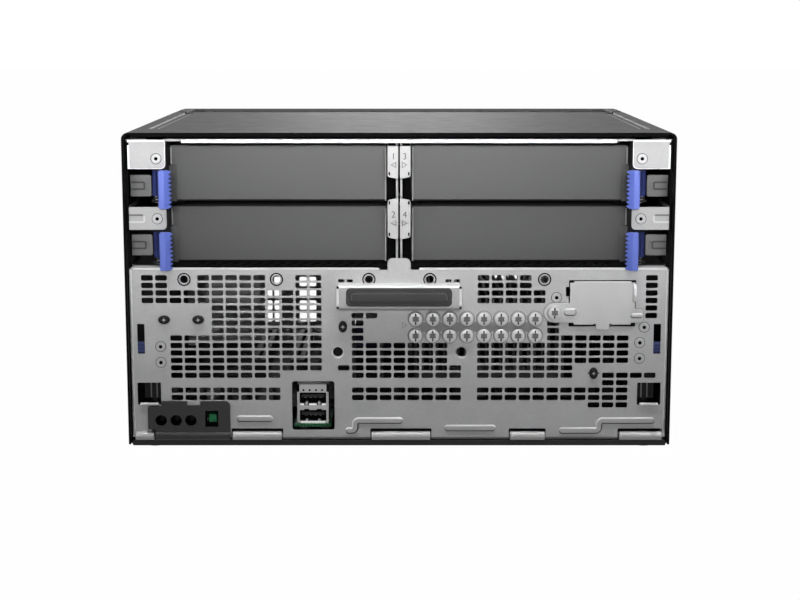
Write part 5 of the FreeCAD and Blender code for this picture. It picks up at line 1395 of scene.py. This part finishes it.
@dataclass
class Hatch:
    """Small screwed plate with two lugs, a bottom tab, two pressed beads and a bent finger tab.

    The finger is its side view as (depth from the face, up), and each bead is its line and its width.
    """

    face: float = -106.0
    sheet: float = 1.0
    edge: Corners = (
        (67.4, 60.7, 4.4), (81.2, 60.7), (81.2, 59.1), (90.4, 59.1), (90.4, 60.0), (91.7, 60.0),
        (91.7, 57.3, 0.7), (97.7, 57.3, 0.7), (97.7, 60.0), (99.0, 60.0), (99.0, 59.1), (107.8, 59.1),
        (107.8, 60.7), (113.4, 60.7, 1.2), (113.4, 67.0, 1.2), (109.6, 67.0, 0.4), (109.6, 79.4),
        (107.8, 79.4), (107.8, 80.0), (81.2, 80.0), (81.2, 79.4), (79.4, 79.4), (79.4, 69.8, 0.8),
        (67.4, 69.8, 4.4))
    beads: tuple[tuple[Corners, float], ...] = (
        (((76.4, 65.7), (82.6, 65.7)), 3.4), (((107.6, 64.0), (113.3, 64.0)), 2.3))
    bead_high: float = 0.8
    lugs: tuple[Corners, ...] = (
        ((79.4, 69.8), (67.4, 69.8, 4.4), (67.4, 60.7, 4.4), (81.2, 60.7)),
        ((109.6, 67.0), (113.4, 67.0, 1.2), (113.4, 60.7, 1.2), (107.8, 60.7)),
        ((91.7, 60.0), (91.7, 57.3, 0.7), (97.7, 57.3, 0.7), (97.7, 60.0)))
    lug_line: Span = (0.7, 0.06)
    top_edge: Spans = ((81.3, 107.7), (-106.02, -105.1), (79.6, 80.02))
    gaps: tuple[Spans, ...] = (
        ((80.6, 91.2), (-106.03, -105.7), (59.1, 59.7)), ((98.2, 108.6), (-106.03, -105.7), (59.1, 59.7)),
        ((79.9, 109.9), (-105.05, -104.6), (80.1, 80.5)))
    finger: Corners = ((0.5, 70.5), (-3.15, 70.9, 1.2), (-4.5, 74.0, 2.0), (-4.5, 77.5, 1.4),
                       (-2.7, 79.0, 1.2), (0.5, 79.0))
    finger_x: Span = (108.45, 109.6)

    def build(self) -> None:
        """Builds the plate in a lighter copy of the steel (painted light), its finger, top edge and bead
        slopes in painted highlight, painted shade along its beads and lugs, and black strips of painted shade
        along the gaps.
        """
        face = self.face
        pressed = [plate([rounded(self.edge)], self.sheet, 0.08),
                   *[bead(line, wide, self.bead_high) for line, wide in self.beads]]
        make_piece("hatch_cover_pressed", upright(together(pressed), face), "sheet_steel",
                   replaces=["hatch_cover"], look="hatch_steel")
        finger = spanned(rounded(self.finger) + (face, 0.0), self.finger_x)
        # Finger, top edge and left bead slopes in a bright steel: painted highlight.
        bright = finger + block(*self.top_edge) + self._slopes(-1, 0.6)
        make_piece("hatch_edges", bright, "sheet_steel", look="bright_steel", eased=0.1)
        make_piece("hatch_bead_shades", self._slopes(1, 0.4), "sheet_steel", look="groove_grey")
        lugs = together(bead(line, *self.lug_line) for line in self.lugs)
        make_piece("hatch_lug_shades", upright(lugs, face + self.sheet), "sheet_steel", look="arrow_grey")
        # Black strips along the gaps: painted shade.
        gaps = together(block(*gap) for gap in self.gaps)
        make_piece("hatch_gaps", gaps, "black_plastic", look="cover_edge")

    def _slopes(self, side: int, reach: float) -> Shape:
        """Thin skins over one slope of both beads, for painted highlight and painted shade lines."""
        lines = [bead_line(line, wide, self.bead_high, side, reach) for line, wide in self.beads]
        return upright(together(lines), self.face)


# Drive cage and bays

@dataclass
class DriveCage:
    """Chassis walls, cage sheets, the bay figures with their arrows, and the latch springs.

    Each of the tab levels is a label tab's foot and top, the slant of its top, and the feet of its cuts.
    A groove's place is (up, depth), and its lines are drawn about that height, with one width and height.
    The notch and seam of a bracket are drawn from its outer top corner.
    """

    face: float = FRONT_FACE
    tab_middle: float = 2.6
    tab_half: Span = (0.40, 5.3)
    tab_levels: tuple[tuple[float, float, float, tuple[float, ...]], ...] = (
        (127.5, 142.6, 0.0, (129.0,)), (99.5, 118.6, 0.9, (101.0, 115.6)))
    cut_x: Span = (-4.85, -4.15)
    cut_high: float = 1.7
    figure_size: float = 4.1
    figure_high: Span = (137.9, 111.1)
    arrow_middle: float = 2.2
    arrow_high: Span = (133.95, 107.1)
    arrow_reach: float = 1.55
    bay_floors: Span = (115.8, 87.2)
    rail: Spans = ((104.03, 107.3), (-0.05, 0.5), (0.02, 16.95))
    pin: Span = (112.3, -97.5)
    spring_lift: float = 1.4
    coils: float = 3.2
    coil_radius: float = 1.55
    coil_z: Span = (0.35, 1.25)
    wire: float = 0.2
    bracket_groove: Span = (109.2, -105.0)
    tab_grooves: tuple[Span, ...] = ((123.25, -93.0), (95.35, -93.0))
    groove_rim: Corners = ((-125.1, 1.6), (-118.9, 1.6, 0.6), (-118.9, -1.6, 0.6), (-125.1, -1.6))
    groove_dark: Corners = ((-125.1, 1.6), (-118.0, 1.6))
    groove_lit: Corners = ((-125.1, -1.6), (-117.5, -1.6, 0.8), (-117.5, 1.2))
    groove_line: Span = (0.36, 0.05)
    bracket_x: Span = (-125.3, -107.3)
    bracket_low: float = 132.1
    bracket_rounds: Span = (2.4, 2.2)
    rim_side: float = 1.6
    rim_wide: float = 0.26
    rim_down: Span = (0.1, 1.1)
    rim_out: float = 0.04
    notch: Spans = ((-0.1, 1.5), (-0.08, 0.4), (-2.6, -1.2))
    seam: Window = ((-0.1, 0.75), (-0.1, 0.3))
    seam_z: Span = (86.5, 0.2)
    # Deep insides, recessed pockets and the stay take darker copies of the steel (painted shade); the cage
    # top's lip takes a lighter one (painted highlight).
    depths: Patch = Patch("depths", (-125.1, -91.9, 0.0), (125.1, 100.0, 150.0), "inner_steel")
    pockets: Patch = Patch("pockets", (-125.1, -101.0, 0.0), (125.1, 120.0, 150.0), "pocket_steel")
    labels: Patch = Patch("labels", (-6.0, -106.0, 90.0), (6.0, -103.9, 145.0), None)
    stay: Patch = Patch("stay", (-95.0, -90.0, 60.0), (-60.0, -86.0, 86.1), "pocket_steel")
    lip: Patch = Patch("lip", (-101.0, -106.0, 140.0), (101.0, -103.9, 146.0), "bright_steel")

    def build(self) -> None:
        """Builds the sheets, figures, springs, grooves and rims."""
        for side in ("left", "right"):
            # The walls' front brackets take a darker copy of the steel: painted shade.
            ease_node(f"chassis_{side}_wall", 0.2, [self.depths, self.pockets], look="bracket_steel")
            ease_node(f"cage_{side}_wall", 0.2)
            ease_node(f"cage_{side}_divider", 0.15, [self.labels])
        # Cage floor and bay rails in near black, and the rail fronts in a darker blank grey: painted shade.
        ease_node("cage_floor", 0.1, [self.stay], look="cover_edge")
        ease_node("bay_rails", 0.1, look="cover_edge")
        front = node_box("bay_rails")[0][1]
        fronts = block(*self.rail).repeated([(0.0, front, z) for z in self.bay_floors])
        make_piece("bay_rail_fronts", fronts.paired(), "blank_plastic", look="rail_shade")
        ease_node("cage_top", 0.1, [self.lip])
        self._labels()
        self._figures()
        self._springs()
        self._grooves()
        self._bracket_rims()

    def _grooves(self) -> None:
        """Lines of painted shade along the grooves in brackets and tabs, and a painted highlight line under
        the brackets' groove.
        """
        marks = {"bracket_groove_rims": ([self.bracket_groove], self.groove_dark, "recess_grey"),
                 "bracket_groove_lights": ([self.bracket_groove], self.groove_lit, "rim_steel"),
                 "tab_groove_rims": (self.tab_grooves, self.groove_rim, "groove_grey")}
        for name, (places, line, look) in marks.items():
            shape = together(upright(bead([(x, up + z, *r) for x, up, *r in line], *self.groove_line), y)
                             for z, y in places)
            make_piece(name, shape.paired(), "sheet_steel", look=look)

    def _bracket_rims(self) -> None:
        """Painted highlight rims round the faces of the upper brackets, wider along the bent sides, and black
        notches and seams of painted shade.
        """
        (out, end), low = self.bracket_x, self.bracket_low
        top = node_box("chassis_left_wall")[1][2]
        crest, head = (top - down for down in self.rim_down)
        wide, tight = self.bracket_rounds
        outer = rounded([(out, low), (end, low, wide), (end, crest), (out, crest)])
        far, near, foot = out + self.rim_side, end - self.rim_wide, low + self.rim_wide
        inner = rounded([(far, foot), (near, foot, tight), (near, head), (far, head)])
        rim = upright(plate([outer, inner], FOIL, 0.0), self.face - self.rim_out)
        make_piece("bracket_rims", rim.paired(), "sheet_steel", look="bright_steel")
        foot, down = self.seam_z
        dark = block(*self.notch) + block(*self.seam, (foot - top, -down))
        dark = dark.repeated([(out, self.face, top)]).paired()
        make_piece("bracket_notches", dark, "black_plastic", look="cover_edge")

    def _labels(self) -> None:
        """Label tabs of the dividers: slanted towards the middle, with a cut beside each round corner."""
        near, out = self.tab_half
        shapes = []
        for low, high, slant, notches in self.tab_levels:
            edge = [(-out, low + 0.9, 1.3), (-near, low, 0.3), (-near, high, 0.3),
                    (-out, high - slant, 1.4 * slant)]
            cuts = [rect(self.cut_x, (z, z + self.cut_high), 0.25) for z in notches]
            shapes.append(plate([rounded(edge), *cuts], 1.0, 0.1))
        make_piece("bay_label_tabs", upright(together(shapes), self.face).paired(), "sheet_steel")

    def _figures(self) -> None:
        """Bay numbers one to four on the label tabs, each with an outline arrow towards its bay."""
        parts = []
        for side, numbers in ((-1, "12"), (1, "34")):
            for text, high, arrow in zip(numbers, self.figure_high, self.arrow_high):
                parts.append(numeral(text, self.figure_size, (side * self.tab_middle, high)))
                parts.append(outline_arrow(side, (side * self.arrow_middle, arrow), self.arrow_reach))
        make_piece("bay_figures", upright(together(parts), self.face), "black_plastic", look="figure_grey")

    def _springs(self) -> None:
        """Wound return springs: a round wire carried along a helix about each latch pin."""
        turn = np.linspace(0.0, 2 * np.pi * self.coils, 90)
        ring = np.column_stack((np.cos(turn), np.sin(turn))) * self.coil_radius
        helix = np.column_stack((ring, np.linspace(*self.coil_z, len(turn))))
        wire = carried(circle((0.0, 0.0), self.wire, 8), helix, OUT)
        x, y = self.pin
        spots = [(side * x, y, z + self.spring_lift) for side in (-1, 1) for z in self.bay_floors]
        make_piece("latch_springs_wound", wire.repeated(spots), "screw_steel", replaces=["latch_springs"],
                   look="bar_steel")


@dataclass
class DriveBays:
    """Moulded blanks and the blue toothed latches in front of them."""

    blank_edge: float = 0.15
    latch_edge: float = 0.22
    bevel: float = 0.9
    line: float = 0.7
    notch: float = 17.4
    web: Patch = Patch("web", (110.42, -120.0, 80.0), (120.0, -80.0, 150.0), "latch_shade")

    def build(self) -> None:
        """Builds each blank with painted shade on its foot bevel, its top, and painted highlight lines, and
        each latch with painted shade on its web.
        """
        for number in range(1, 5):
            # Upper blanks take the slot's finish and lower ones a darker copy of it: painted shade.
            look = "blank_plastic" if number in (1, 3) else "blank_low"
            ease_node(f"drive_blank_{number}", self.blank_edge, self._foot(f"drive_blank_{number}"), look)
            self._side_lines(number, look)
            web = self.web if number > 2 else self.web.mirrored()
            ease_node(f"drive_latch_{number}", self.latch_edge, [web])

    def _foot(self, node: str) -> list[Patch]:
        """Painted shade on the bevel along the foot of a blank's face."""
        low, high = node_box(node)
        back = (high[0], low[1] + self.bevel + 0.02, low[2] + self.bevel)
        return [Patch("foot_edge", (low[0], low[1] + 0.02, low[2]), back, "blank_shade")]

    def _side_lines(self, number: int, look: str) -> None:
        """Top of a blank's face, and painted highlight lines down its sides, the outer one above the latch's
        notch.
        """
        low, high = node_box(f"drive_blank_{number}")
        near, far = sorted((abs(low[0]), abs(high[0])))
        depth = (low[1], low[1] + self.bevel)
        crest = high[2] - self.bevel
        top = block((near, far), depth, (crest, high[2]))
        lines = block((near, near + self.line), depth, (low[2] + 0.3, crest))
        lines += block((far - self.line, far), depth, (low[2] + self.notch, crest))
        top, lines = (part if number > 2 else part.mirrored() for part in (top, lines))
        body = f"blank_{number}"
        make_piece(f"drive_blank_{number}_top", top, "blank_plastic", body, eased=0.1, look=look)
        # Lighter lines down the side bevels: painted highlight.
        make_piece(f"drive_blank_{number}_lines", lines, "blank_plastic", body, look="blank_edge")


# Status housing, data ports and catches

@dataclass
class StatusPanel:
    """Dark housing with domed light pipes, the green button and a rounded foot."""

    lamps: Corners = ((-111.6, 14.1), (-104.6, 14.1), (-97.7, 14.1))
    lamp_face: float = -103.5
    pipe: Corners = ((2.5, -7.5), (2.5, -0.9), (2.425, -0.75), (2.15, -0.5), (1.55, -0.25), (0.75, -0.1),
                     (TIP, -0.06))

    def build(self) -> None:
        """Builds the housing, pipes and button."""
        ease_node("status_housing", 0.3)
        ease_node("power_button", 0.35)
        pipes = upright(turned(self.pipe).repeated(self.lamps), self.lamp_face)
        # The pipes' near-black finish is painted shade in the lamp openings.
        make_piece("light_pipes_domed", pipes, "lamp_clear", replaces=["light_pipes"], sharp=40.0)


@dataclass
class DataPorts:
    """Double data ports with rolled shells, spring tabs and contact tongues.

    A place is (across, depth of the mouth, foot, facing). A port is drawn about its lower middle.
    """

    places: tuple[tuple[float, float, float, Facing], ...] = (
        (-40.8, -98.0, 10.8, Facing.FRONT), (60.0, 105.6, 11.6, Facing.REAR),
        (78.0, 105.6, 11.6, Facing.REAR))
    half_wide: float = 7.5
    high: float = 18.8
    deep: float = 18.0
    hollow_deep: float = 12.0
    hollow_half: float = 6.25
    hollow_high: float = 5.2
    hollow_lows: Span = (1.1, 9.6)
    shoulder: float = 15.2
    strip_x: Span = (6.5, 7.4)
    shoulder_x: Span = (6.4, 7.6)
    tab_across: float = 2.97
    tab_half: float = 0.55
    tab_drops: Span = (0.0, 0.7)
    cut_half: float = 1.18
    lip_half: float = 5.9
    lip_out: Span = (-0.6, 0.2)
    foot_halves: Span = (5.6, 6.2)
    hole: Corners = ((0.5, -0.3), (0.5, 0.05), (TIP, 0.05))
    holes_x: tuple[float, ...] = (-4.4, -1.5, 1.5, 4.4)
    tongue_half: float = 5.5
    tongue_z: Span = (2.6, 4.2)
    nose: Corners = ((0.0, -12.0), (0.0, -1.4), (0.2, -1.1), (0.4, -1.0))
    contacts_x: tuple[float, ...] = (-3.5, -1.0, 1.0, 3.5)
    contact_half: float = 0.5
    contact_z: Span = (2.45, 2.65)
    tab_out: Span = (-6.0, 0.08)
    strip_out: Span = (-0.6, 0.1)
    cut_out: Span = (-0.3, 0.05)
    liner_out: Span = (-2.3, -2.0)
    shoulder_out: Span = (-0.4, 0.06)
    contact_out: Span = (-9.0, -1.6)

    def build(self) -> None:
        """Builds the shells, lips, cuts, tongues and contacts, each as one piece for all ports."""
        rows = (("shells", self._shell(), "shell_steel", ["usb_shells"], "port_steel"),
                ("lips", self._lips(), "shell_steel", [], "lip_steel"),
                ("cuts", self._cuts(), "black_plastic", [], "cover_edge"),
                ("tongues", self._tongues(), "black_plastic", ["usb_tongues"], "tongue_grey"),
                ("contacts", self._contacts(), "shell_steel", [], "port_steel"))
        for name, shape, slot, nodes, look in rows:
            ports = together(upright(shape.repeated([(x, base)]), y, facing)
                             for x, y, base, facing in self.places)
            make_piece(f"data_port_{name}", ports, slot, replaces=nodes, look=look)

    def _hollows(self) -> list[Array]:
        """Outlines of the two mouths."""
        return [rect((-self.hollow_half, self.hollow_half), (low, low + self.hollow_high), 0.4)
                for low in self.hollow_lows]

    def _shell(self) -> Shape:
        """Thick plate with the two mouths, a closing block behind, spring tabs and side strips."""
        rim = rect((-self.half_wide, self.half_wide), (0.0, self.high), 0.5)
        shape = plate([rim, *self._hollows()], self.hollow_deep, 0.15)
        shape += prism(rim, -self.deep, -self.hollow_deep)
        for low, drop in zip(self.hollow_lows, self.tab_drops):
            for across in (-self.tab_across, self.tab_across):
                tab = rect((across - self.tab_half, across + self.tab_half), (low - drop, low + 0.9), 0.2)
                shape += prism(tab, *self.tab_out)
        return shape + prism(rect(self.strip_x, (0.4, self.shoulder), 0.1), *self.strip_out).paired()

    def _lips(self) -> Shape:
        """Lips under the mouths in a bright steel, as painted highlight: the upper one in three parts, the
        lower one with slanted ends.
        """
        low, high = self.hollow_lows
        near, far, end = self.tab_across - self.cut_half, self.tab_across + self.cut_half, self.lip_half
        upper = [rect(span, (high - 0.8, high), 0.15) for span in ((-end, -far), (-near, near), (far, end))]
        short, long = self.foot_halves
        foot = np.array([(-short, low - 1.08), (short, low - 1.08), (long, low), (-long, low)])
        return together(prism(outline, *self.lip_out) for outline in (*upper, foot))

    def _cuts(self) -> Shape:
        """Black pieces of painted shade: cuts round the tabs and at the shoulders, liners in the mouths, and
        a row of small holes.
        """
        low, high = self.hollow_lows
        roof = low + self.hollow_high
        parts = [prism(rect((x - self.cut_half, x + self.cut_half), span, 0.1), *self.cut_out)
                 for x in (-self.tab_across, self.tab_across)
                 for span in ((high - 0.85, high), (roof, roof + 0.6))]
        parts += [prism(outline, *self.liner_out) for outline in self._hollows()]
        shoulder = rect(self.shoulder_x, (self.shoulder, self.high + 0.05), 0.1)
        parts.append(prism(shoulder, *self.shoulder_out).paired())
        holes = [(x, high + self.hollow_high + 1.2) for x in self.holes_x]
        return together([*parts, turned(self.hole, 12).repeated(holes)])

    def _tongues(self) -> Shape:
        """Contact tongues with eased noses."""
        tongue = terraced(rect((-self.tongue_half, self.tongue_half), self.tongue_z, 0.3), self.nose)
        return tongue.repeated([(0.0, low) for low in self.hollow_lows])

    def _contacts(self) -> Shape:
        """Four strips under each tongue."""
        strip = prism(rect((-self.contact_half, self.contact_half), self.contact_z), *self.contact_out)
        return strip.repeated([(across, low) for low in self.hollow_lows for across in self.contacts_x])


@dataclass
class Catches:
    """Blue release sliders and the lock bars behind them."""

    # Lighter bands on the feet of the dark lock bars: painted highlight.
    bands: tuple[Spans, ...] = (
        ((113.5, 114.2), (-0.04, 0.2), (24.3, 32.6)), ((116.3, 116.9), (-0.04, 0.2), (24.3, 32.6)))

    def build(self) -> None:
        """Eases the sliders and the bars, the bars darkened as painted shade, and sets bands of painted
        highlight on the feet of the bars.
        """
        right = together(block(*band) for band in self.bands)
        for side, bands in (("left", right.mirrored()), ("right", right)):
            ease_node(f"release_slider_{side}", 0.15)
            bar = f"lock_bar_{side}"
            ease_node(bar, 0.15, look="bar_shade")
            worn = bands.repeated([(0.0, node_box(bar)[0][1])])
            make_piece(f"{bar}_bands", worn, slot_of(bar), f"release_{side}", look="recess_grey")


# Cover, base and feet

@dataclass
class OuterCover:
    """Painted sleeve with softened bends, a black front edge of painted shade, and painted highlight lines
    along its two sunk beads.
    """

    edge: float = 0.22
    front: float = -106.95
    bead_x: Span = (113.3, 118.6)
    bead_y: Span = (-80.1, 60.1)
    slope: float = 0.7
    sunk: float = 0.5
    inner_line: Span = (114.4, 115.1)
    outer_end: Span = (117.9, 118.6)
    outer_end_y: float = 94.0
    strip_half: float = 109.2
    flank_x: Span = (109.2, 124.0)
    strip_y: Span = (74.0, 106.0)
    strip_down: Span = (0.9, 0.08)
    slot_x: Span = (109.6, 116.4)
    slot_y: Span = (76.0, 96.0)

    def build(self) -> None:
        """Eases the sleeve's edges and sets off its painted highlight lines, rear strip, flanks, and its
        slots as black painted shade.
        """
        low, high = node_box("outer_cover")
        floor, top = high[2] - self.sunk, high[2]
        # The front edge takes near black: painted shade.
        patches = [Patch("front_edge", tuple(low - 1), (high[0] + 1, self.front, top + 1), "cover_edge")]
        y0, y1 = self.bead_y
        # Lighter lines on the bead slopes: painted highlight.
        for name, x in (("inner_line", self.bead_x[0]), ("outer_line", self.bead_x[1] - self.slope)):
            line = Patch(name, (x, y0, floor + 0.05), (x + self.slope, y1, top - 0.05), "cover_line")
            patches += [line, line.mirrored()]
        ease_node("outer_cover", self.edge, patches)
        skin = (top - self.strip_down[0], top - self.strip_down[1])
        # Lighter lines in the bead floors and at the bead ends: painted highlight; black blocks at the slots:
        # painted shade.
        worn = block(self.inner_line, (y0 - 3.0, y1 + 2.0), (floor - 0.1, floor + 0.04)).paired()
        ends = block(self.outer_end, (y1, self.outer_end_y), (top - 0.5, top)).paired()
        strip = block((-self.strip_half, self.strip_half), self.strip_y, skin)
        flanks = block(self.flank_x, self.strip_y, skin).paired()
        slots = block(self.slot_x, self.slot_y, (top - 0.4, top)).paired()
        rows = (("worn_lines", worn, "worn_line", 0.0), ("line_ends", ends, "worn_line", 0.0),
                ("rear_strip", strip, "strip_paint", 0.2), ("rear_sides", flanks, None, 0.0),
                ("slots", slots, "cover_edge", 0.0))
        for name, shape, look, eased in rows:
            make_piece(f"outer_cover_{name}", shape, "cover_paint", "cover", eased=eased, look=look)


@dataclass
class BaseAndFeet:
    """Painted base with its hem, on round rubber feet."""

    foot: Corners = ((TIP, 0.25), (2.8, 0.25), (3.1, 0.0), (4.8, 0.0), (5.25, 0.12), (5.5, 0.45), (5.9, 2.3),
                     (6.0, 2.5))
    foot_x: float = 116.0
    foot_y: Span = (-94.0, 92.0)
    corner_x: Span = (124.8, 125.85)
    corner_y: Span = (-104.5, -96.0)
    corner_z: Span = (2.4, 5.4)

    def build(self) -> None:
        """Builds the base, black corners of painted shade, and the feet."""
        ease_node("base_tray", 0.3)
        # Black blocks at the front corners: painted shade in the gap between sleeve and base.
        corners = block(self.corner_x, self.corner_y, self.corner_z).paired()
        make_piece("base_tray_corners", corners, "base_paint", look="cover_edge")
        spots = [(x, y) for x in (-self.foot_x, self.foot_x) for y in self.foot_y]
        feet = turned(self.foot, 48).repeated(spots)
        make_piece("rubber_feet_moulded", feet, "foot_rubber", replaces=["rubber_feet"], sharp=45.0)


# Rear side

@dataclass
class RearSide:
    """Rear sheet with its grille and vents, card slot covers, port plate and sockets."""

    outer: float = 105.0
    half: float = 125.4
    foot: float = 4.4
    top: float = 145.6
    port_gap: tuple[Span, float] = ((-36.0, 118.0), 34.0)
    thumb: Span = (113.0, 135.0)
    thumb_radius: float = 2.1
    fan: Span = (62.0, 92.0)
    fan_bore: float = 44.0
    grille_reach: int = 6
    grille_step: float = 6.4
    grille_half: float = 2.0
    grille_bar: float = 1.5
    vent: Window = ((-114.0, -105.0), (96.0, 99.6))
    vent_step: Span = (13.0, 8.0)
    vent_grid: tuple[int, int] = (9, 5)
    slot_middles: Span = (-74.0, -53.7)
    slot_half: float = 6.5
    slot_z: Span = (14.0, 82.0)
    cover_face: float = 104.0
    cover_half: float = 9.2
    cover_z: Span = (12.0, 86.0)
    cover_vents: tuple[Span, ...] = ((-4.9, -0.6), (0.6, 4.9))
    cover_vent_z: Span = (24.0, 29.6)
    cover_step: float = 7.0
    cover_rows: int = 8
    jacks: Span = (20.0, 38.0)
    jack_first: float = -4.0
    jack_step: float = 1.15
    jack_half: float = 0.28
    jack_yz: Window = ((94.0, 103.0), (21.6, 22.6))
    display: Point = (-10.0, 110.6, 18.2)
    display_step: Point = (2.3, 0.6, 2.0)
    display_hole: Corners = ((0.5, 0.0), (0.5, 0.06), (TIP, 0.06))

    def build(self) -> None:
        """Builds the rear sheets and dresses the sockets."""
        (x0, x1), z = self.port_gap
        half, foot, top = self.half, self.foot, self.top
        rim = [(-half, foot), (x0, foot), (x0, z, 0.5), (x1, z, 0.5), (x1, foot), (half, foot),
               (half, top, 1.0), (-half, top, 1.0)]
        outlines = [rounded(rim), *self._grille(), *self._vents()]
        outlines += [rect((x - self.slot_half, x + self.slot_half), self.slot_z, 1.0)
                     for x in self.slot_middles]
        outlines += [circle((side * self.thumb[0], self.thumb[1]), self.thumb_radius) for side in (-1, 1)]
        sheet = upright(plate(outlines, 1.0), self.outer, Facing.REAR)
        make_piece("rear_panel_punched", sheet, "sheet_steel", replaces=["rear_panel"])
        self._covers()
        for node in ("port_plate", "network_jacks", "display_socket", "power_inlet"):
            ease_node(node, 0.2)
        self._pins()

    def _grille(self) -> list[Array]:
        """Round-ended slots over the fan, as tall as the bore's chord allows."""
        (x, z), half = self.fan, self.grille_half
        slots = []
        for shift in self.grille_step * np.arange(-self.grille_reach, self.grille_reach + 1):
            reach = math.sqrt(self.fan_bore ** 2 - (abs(shift) + half) ** 2) - 0.5
            for low, high in ((-reach, -self.grille_bar), (self.grille_bar, reach)):
                slots.append(rect((x + shift - half, x + shift + half), (z + low, z + high), 1.9))
        return slots

    def _vents(self) -> list[Array]:
        """Round-ended slots behind the drive bays, with one left out in the upper corner."""
        slot = rect(*self.vent, 1.75)
        columns, rows = self.vent_grid
        return [slot + np.array(self.vent_step) * (i, j) for i in range(columns) for j in range(rows)
                if i > 0 or j < rows - 1]

    def _covers(self) -> None:
        """Vented slot covers."""
        rim = rect((-self.cover_half, self.cover_half), self.cover_z, 0.8)
        holes = [rect(across, self.cover_vent_z, 0.9) + (0.0, self.cover_step * i)
                 for i in range(self.cover_rows) for across in self.cover_vents]
        cover = plate([rim, *holes], 0.8, 0.1).repeated([(x, 0.0) for x in self.slot_middles])
        make_piece("slot_covers_punched", upright(cover, self.cover_face, Facing.REAR), "sheet_steel",
                   replaces=["slot_covers"])

    def _pins(self) -> None:
        """Contacts in the network sockets, and black discs of painted shade as the pin holes of the display
        socket.
        """
        strip = block((-self.jack_half, self.jack_half), *self.jack_yz)
        places = [(x + self.jack_first + self.jack_step * k, 0.0) for x in self.jacks for k in range(8)]
        make_piece("network_contacts", strip.repeated(places), "shell_steel")
        x, face, z = self.display
        along, skew, up = self.display_step
        spots = [(x + along * k + skew * row, z + up * row) for row in (-1, 0, 1) for k in range(-2, 3)]
        holes = turned(self.display_hole, 12).repeated(spots)
        make_piece("display_holes", upright(holes, face, Facing.REAR), "black_plastic")


# Inside

@dataclass
class Inside:
    """Boards with their components, cooler and cables.

    A chip is (across, depth, half its length), and a run of capacitors is (first, last, count, depth).
    """

    board_top: float = 11.6
    chips: Corners = ((-100.0, 10.0, 14.0), (-100.0, 46.0, 10.0), (-28.0, -46.0, 12.0), (-92.0, -14.0, 8.0),
                      (-34.0, 30.0, 9.0), (60.0, -52.0, 9.0), (30.0, -52.0, 7.0))
    chip_share: float = 0.8
    chip_levels: Corners = ((0.0, 0.0), (0.0, 1.2), (0.25, 1.5))
    seed: int = 7
    can: Corners = ((3.0, 0.0), (3.0, 0.8), (2.85, 1.0), (3.0, 1.2), (3.0, 8.3), (2.7, 8.7), (TIP, 8.7))
    can_runs: tuple[tuple[float, float, int, float], ...] = (
        (-2.0, 84.0, 9, -42.0), (-112.0, -60.0, 5, -56.0))
    can_play: float = 1.2
    modules: Span = (94.0, 104.0)
    module_chip: tuple[Span, Span, Span] = ((0.6, 1.5), (-51.0, -41.0), (26.0, 37.0))
    module_step: float = 16.6
    cable_radius: float = 2.0
    routes: tuple[tuple[Point, ...], ...] = (
        ((-30.0, 60.6, 94.0), (-30.0, 82.0, 94.0), (-29.5, 88.0, 66.0), (-28.0, 66.0, 42.0),
         (-26.0, 28.0, 38.0), (-25.0, -8.0, 44.0), (-24.0, -26.0, 30.0), (-24.0, -26.0, 11.6)),
        ((-16.0, 60.6, 94.0), (-16.0, 84.0, 94.0), (-15.0, 91.0, 67.0), (-12.0, 70.0, 45.0),
         (-9.0, 32.0, 42.0), (-9.0, -4.0, 49.0), (-10.0, -20.0, 32.0), (-10.0, -20.0, 11.6)))

    def build(self) -> None:
        """Builds what stands on the boards, the cables, and the eased cooler, sockets and fan frame."""
        self._chips()
        self._capacitors()
        self._module_chips()
        self._cables()
        for node in ("heatsink", "processor", "board_sockets", "clock_battery", "fan_frame"):
            ease_node(node, 0.2)

    def _chips(self) -> None:
        """Flat packages on the system board, away from the sockets and the cooler."""
        parts = []
        for x, y, half in self.chips:
            deep = half * self.chip_share
            outline = rect((x - half, x + half), (y - deep, y + deep), 0.3)
            parts.append(terraced(outline, self.chip_levels).repeated([(0.0, 0.0, self.board_top)]))
        make_piece("board_chips", together(parts), "black_plastic")

    def _capacitors(self) -> None:
        """Round capacitors in seeded places along the front of the board and beside the cooler."""
        draw = np.random.default_rng(self.seed)
        x = np.concatenate([np.linspace(first, last, count) for first, last, count, _ in self.can_runs])
        y = np.concatenate([np.full(count, depth) for _, _, count, depth in self.can_runs])
        y = y + draw.uniform(-self.can_play, self.can_play, len(x))
        spots = np.column_stack((x, y, np.full(len(x), self.board_top)))
        cans = turned(self.can, 20).repeated(spots)
        make_piece("board_capacitors", cans, "cooler_aluminium", sharp=45.0)

    def _module_chips(self) -> None:
        """Memory packages on both sides of each module."""
        chip = block(*self.module_chip).paired()
        places = [(x, self.module_step * k) for x in self.modules for k in range(8)]
        make_piece("memory_chips", chip.repeated(places), "black_plastic", eased=0.15)

    def _cables(self) -> None:
        """Cables as round tubes along the smooth spline of each route."""
        parts = []
        for route in self.routes:
            curve = bpy.data.curves.new("cable", "CURVE")
            curve.dimensions = "3D"
            curve.bevel_depth = self.cable_radius
            curve.bevel_resolution = 3
            curve.use_fill_caps = True
            spline = curve.splines.new("NURBS")
            spline.points.add(len(route) - 1)
            spline.points.foreach_set("co", np.column_stack((np.array(route), np.ones(len(route)))).ravel())
            spline.order_u = 3
            spline.use_endpoint_u = True
            parts.append(curve_shape(curve))
        make_piece("drive_cables_round", together(parts), "cable_grey", replaces=["drive_cables"], sharp=60.0)


def main() -> None:
    """Builds the studio and every sub-assembly in order."""
    logging.basicConfig(level=logging.INFO, format="%(message)s")
    Studio().build()
    dress_nodes()
    assemblies = (FrontPanel, Fasteners, Handle, Hatch, DriveCage, DriveBays, StatusPanel, DataPorts, Catches,
                  OuterCover, BaseAndFeet, RearSide, Inside)
    for assembly in assemblies:
        assembly().build()


if __name__ == "__main__":
    main()
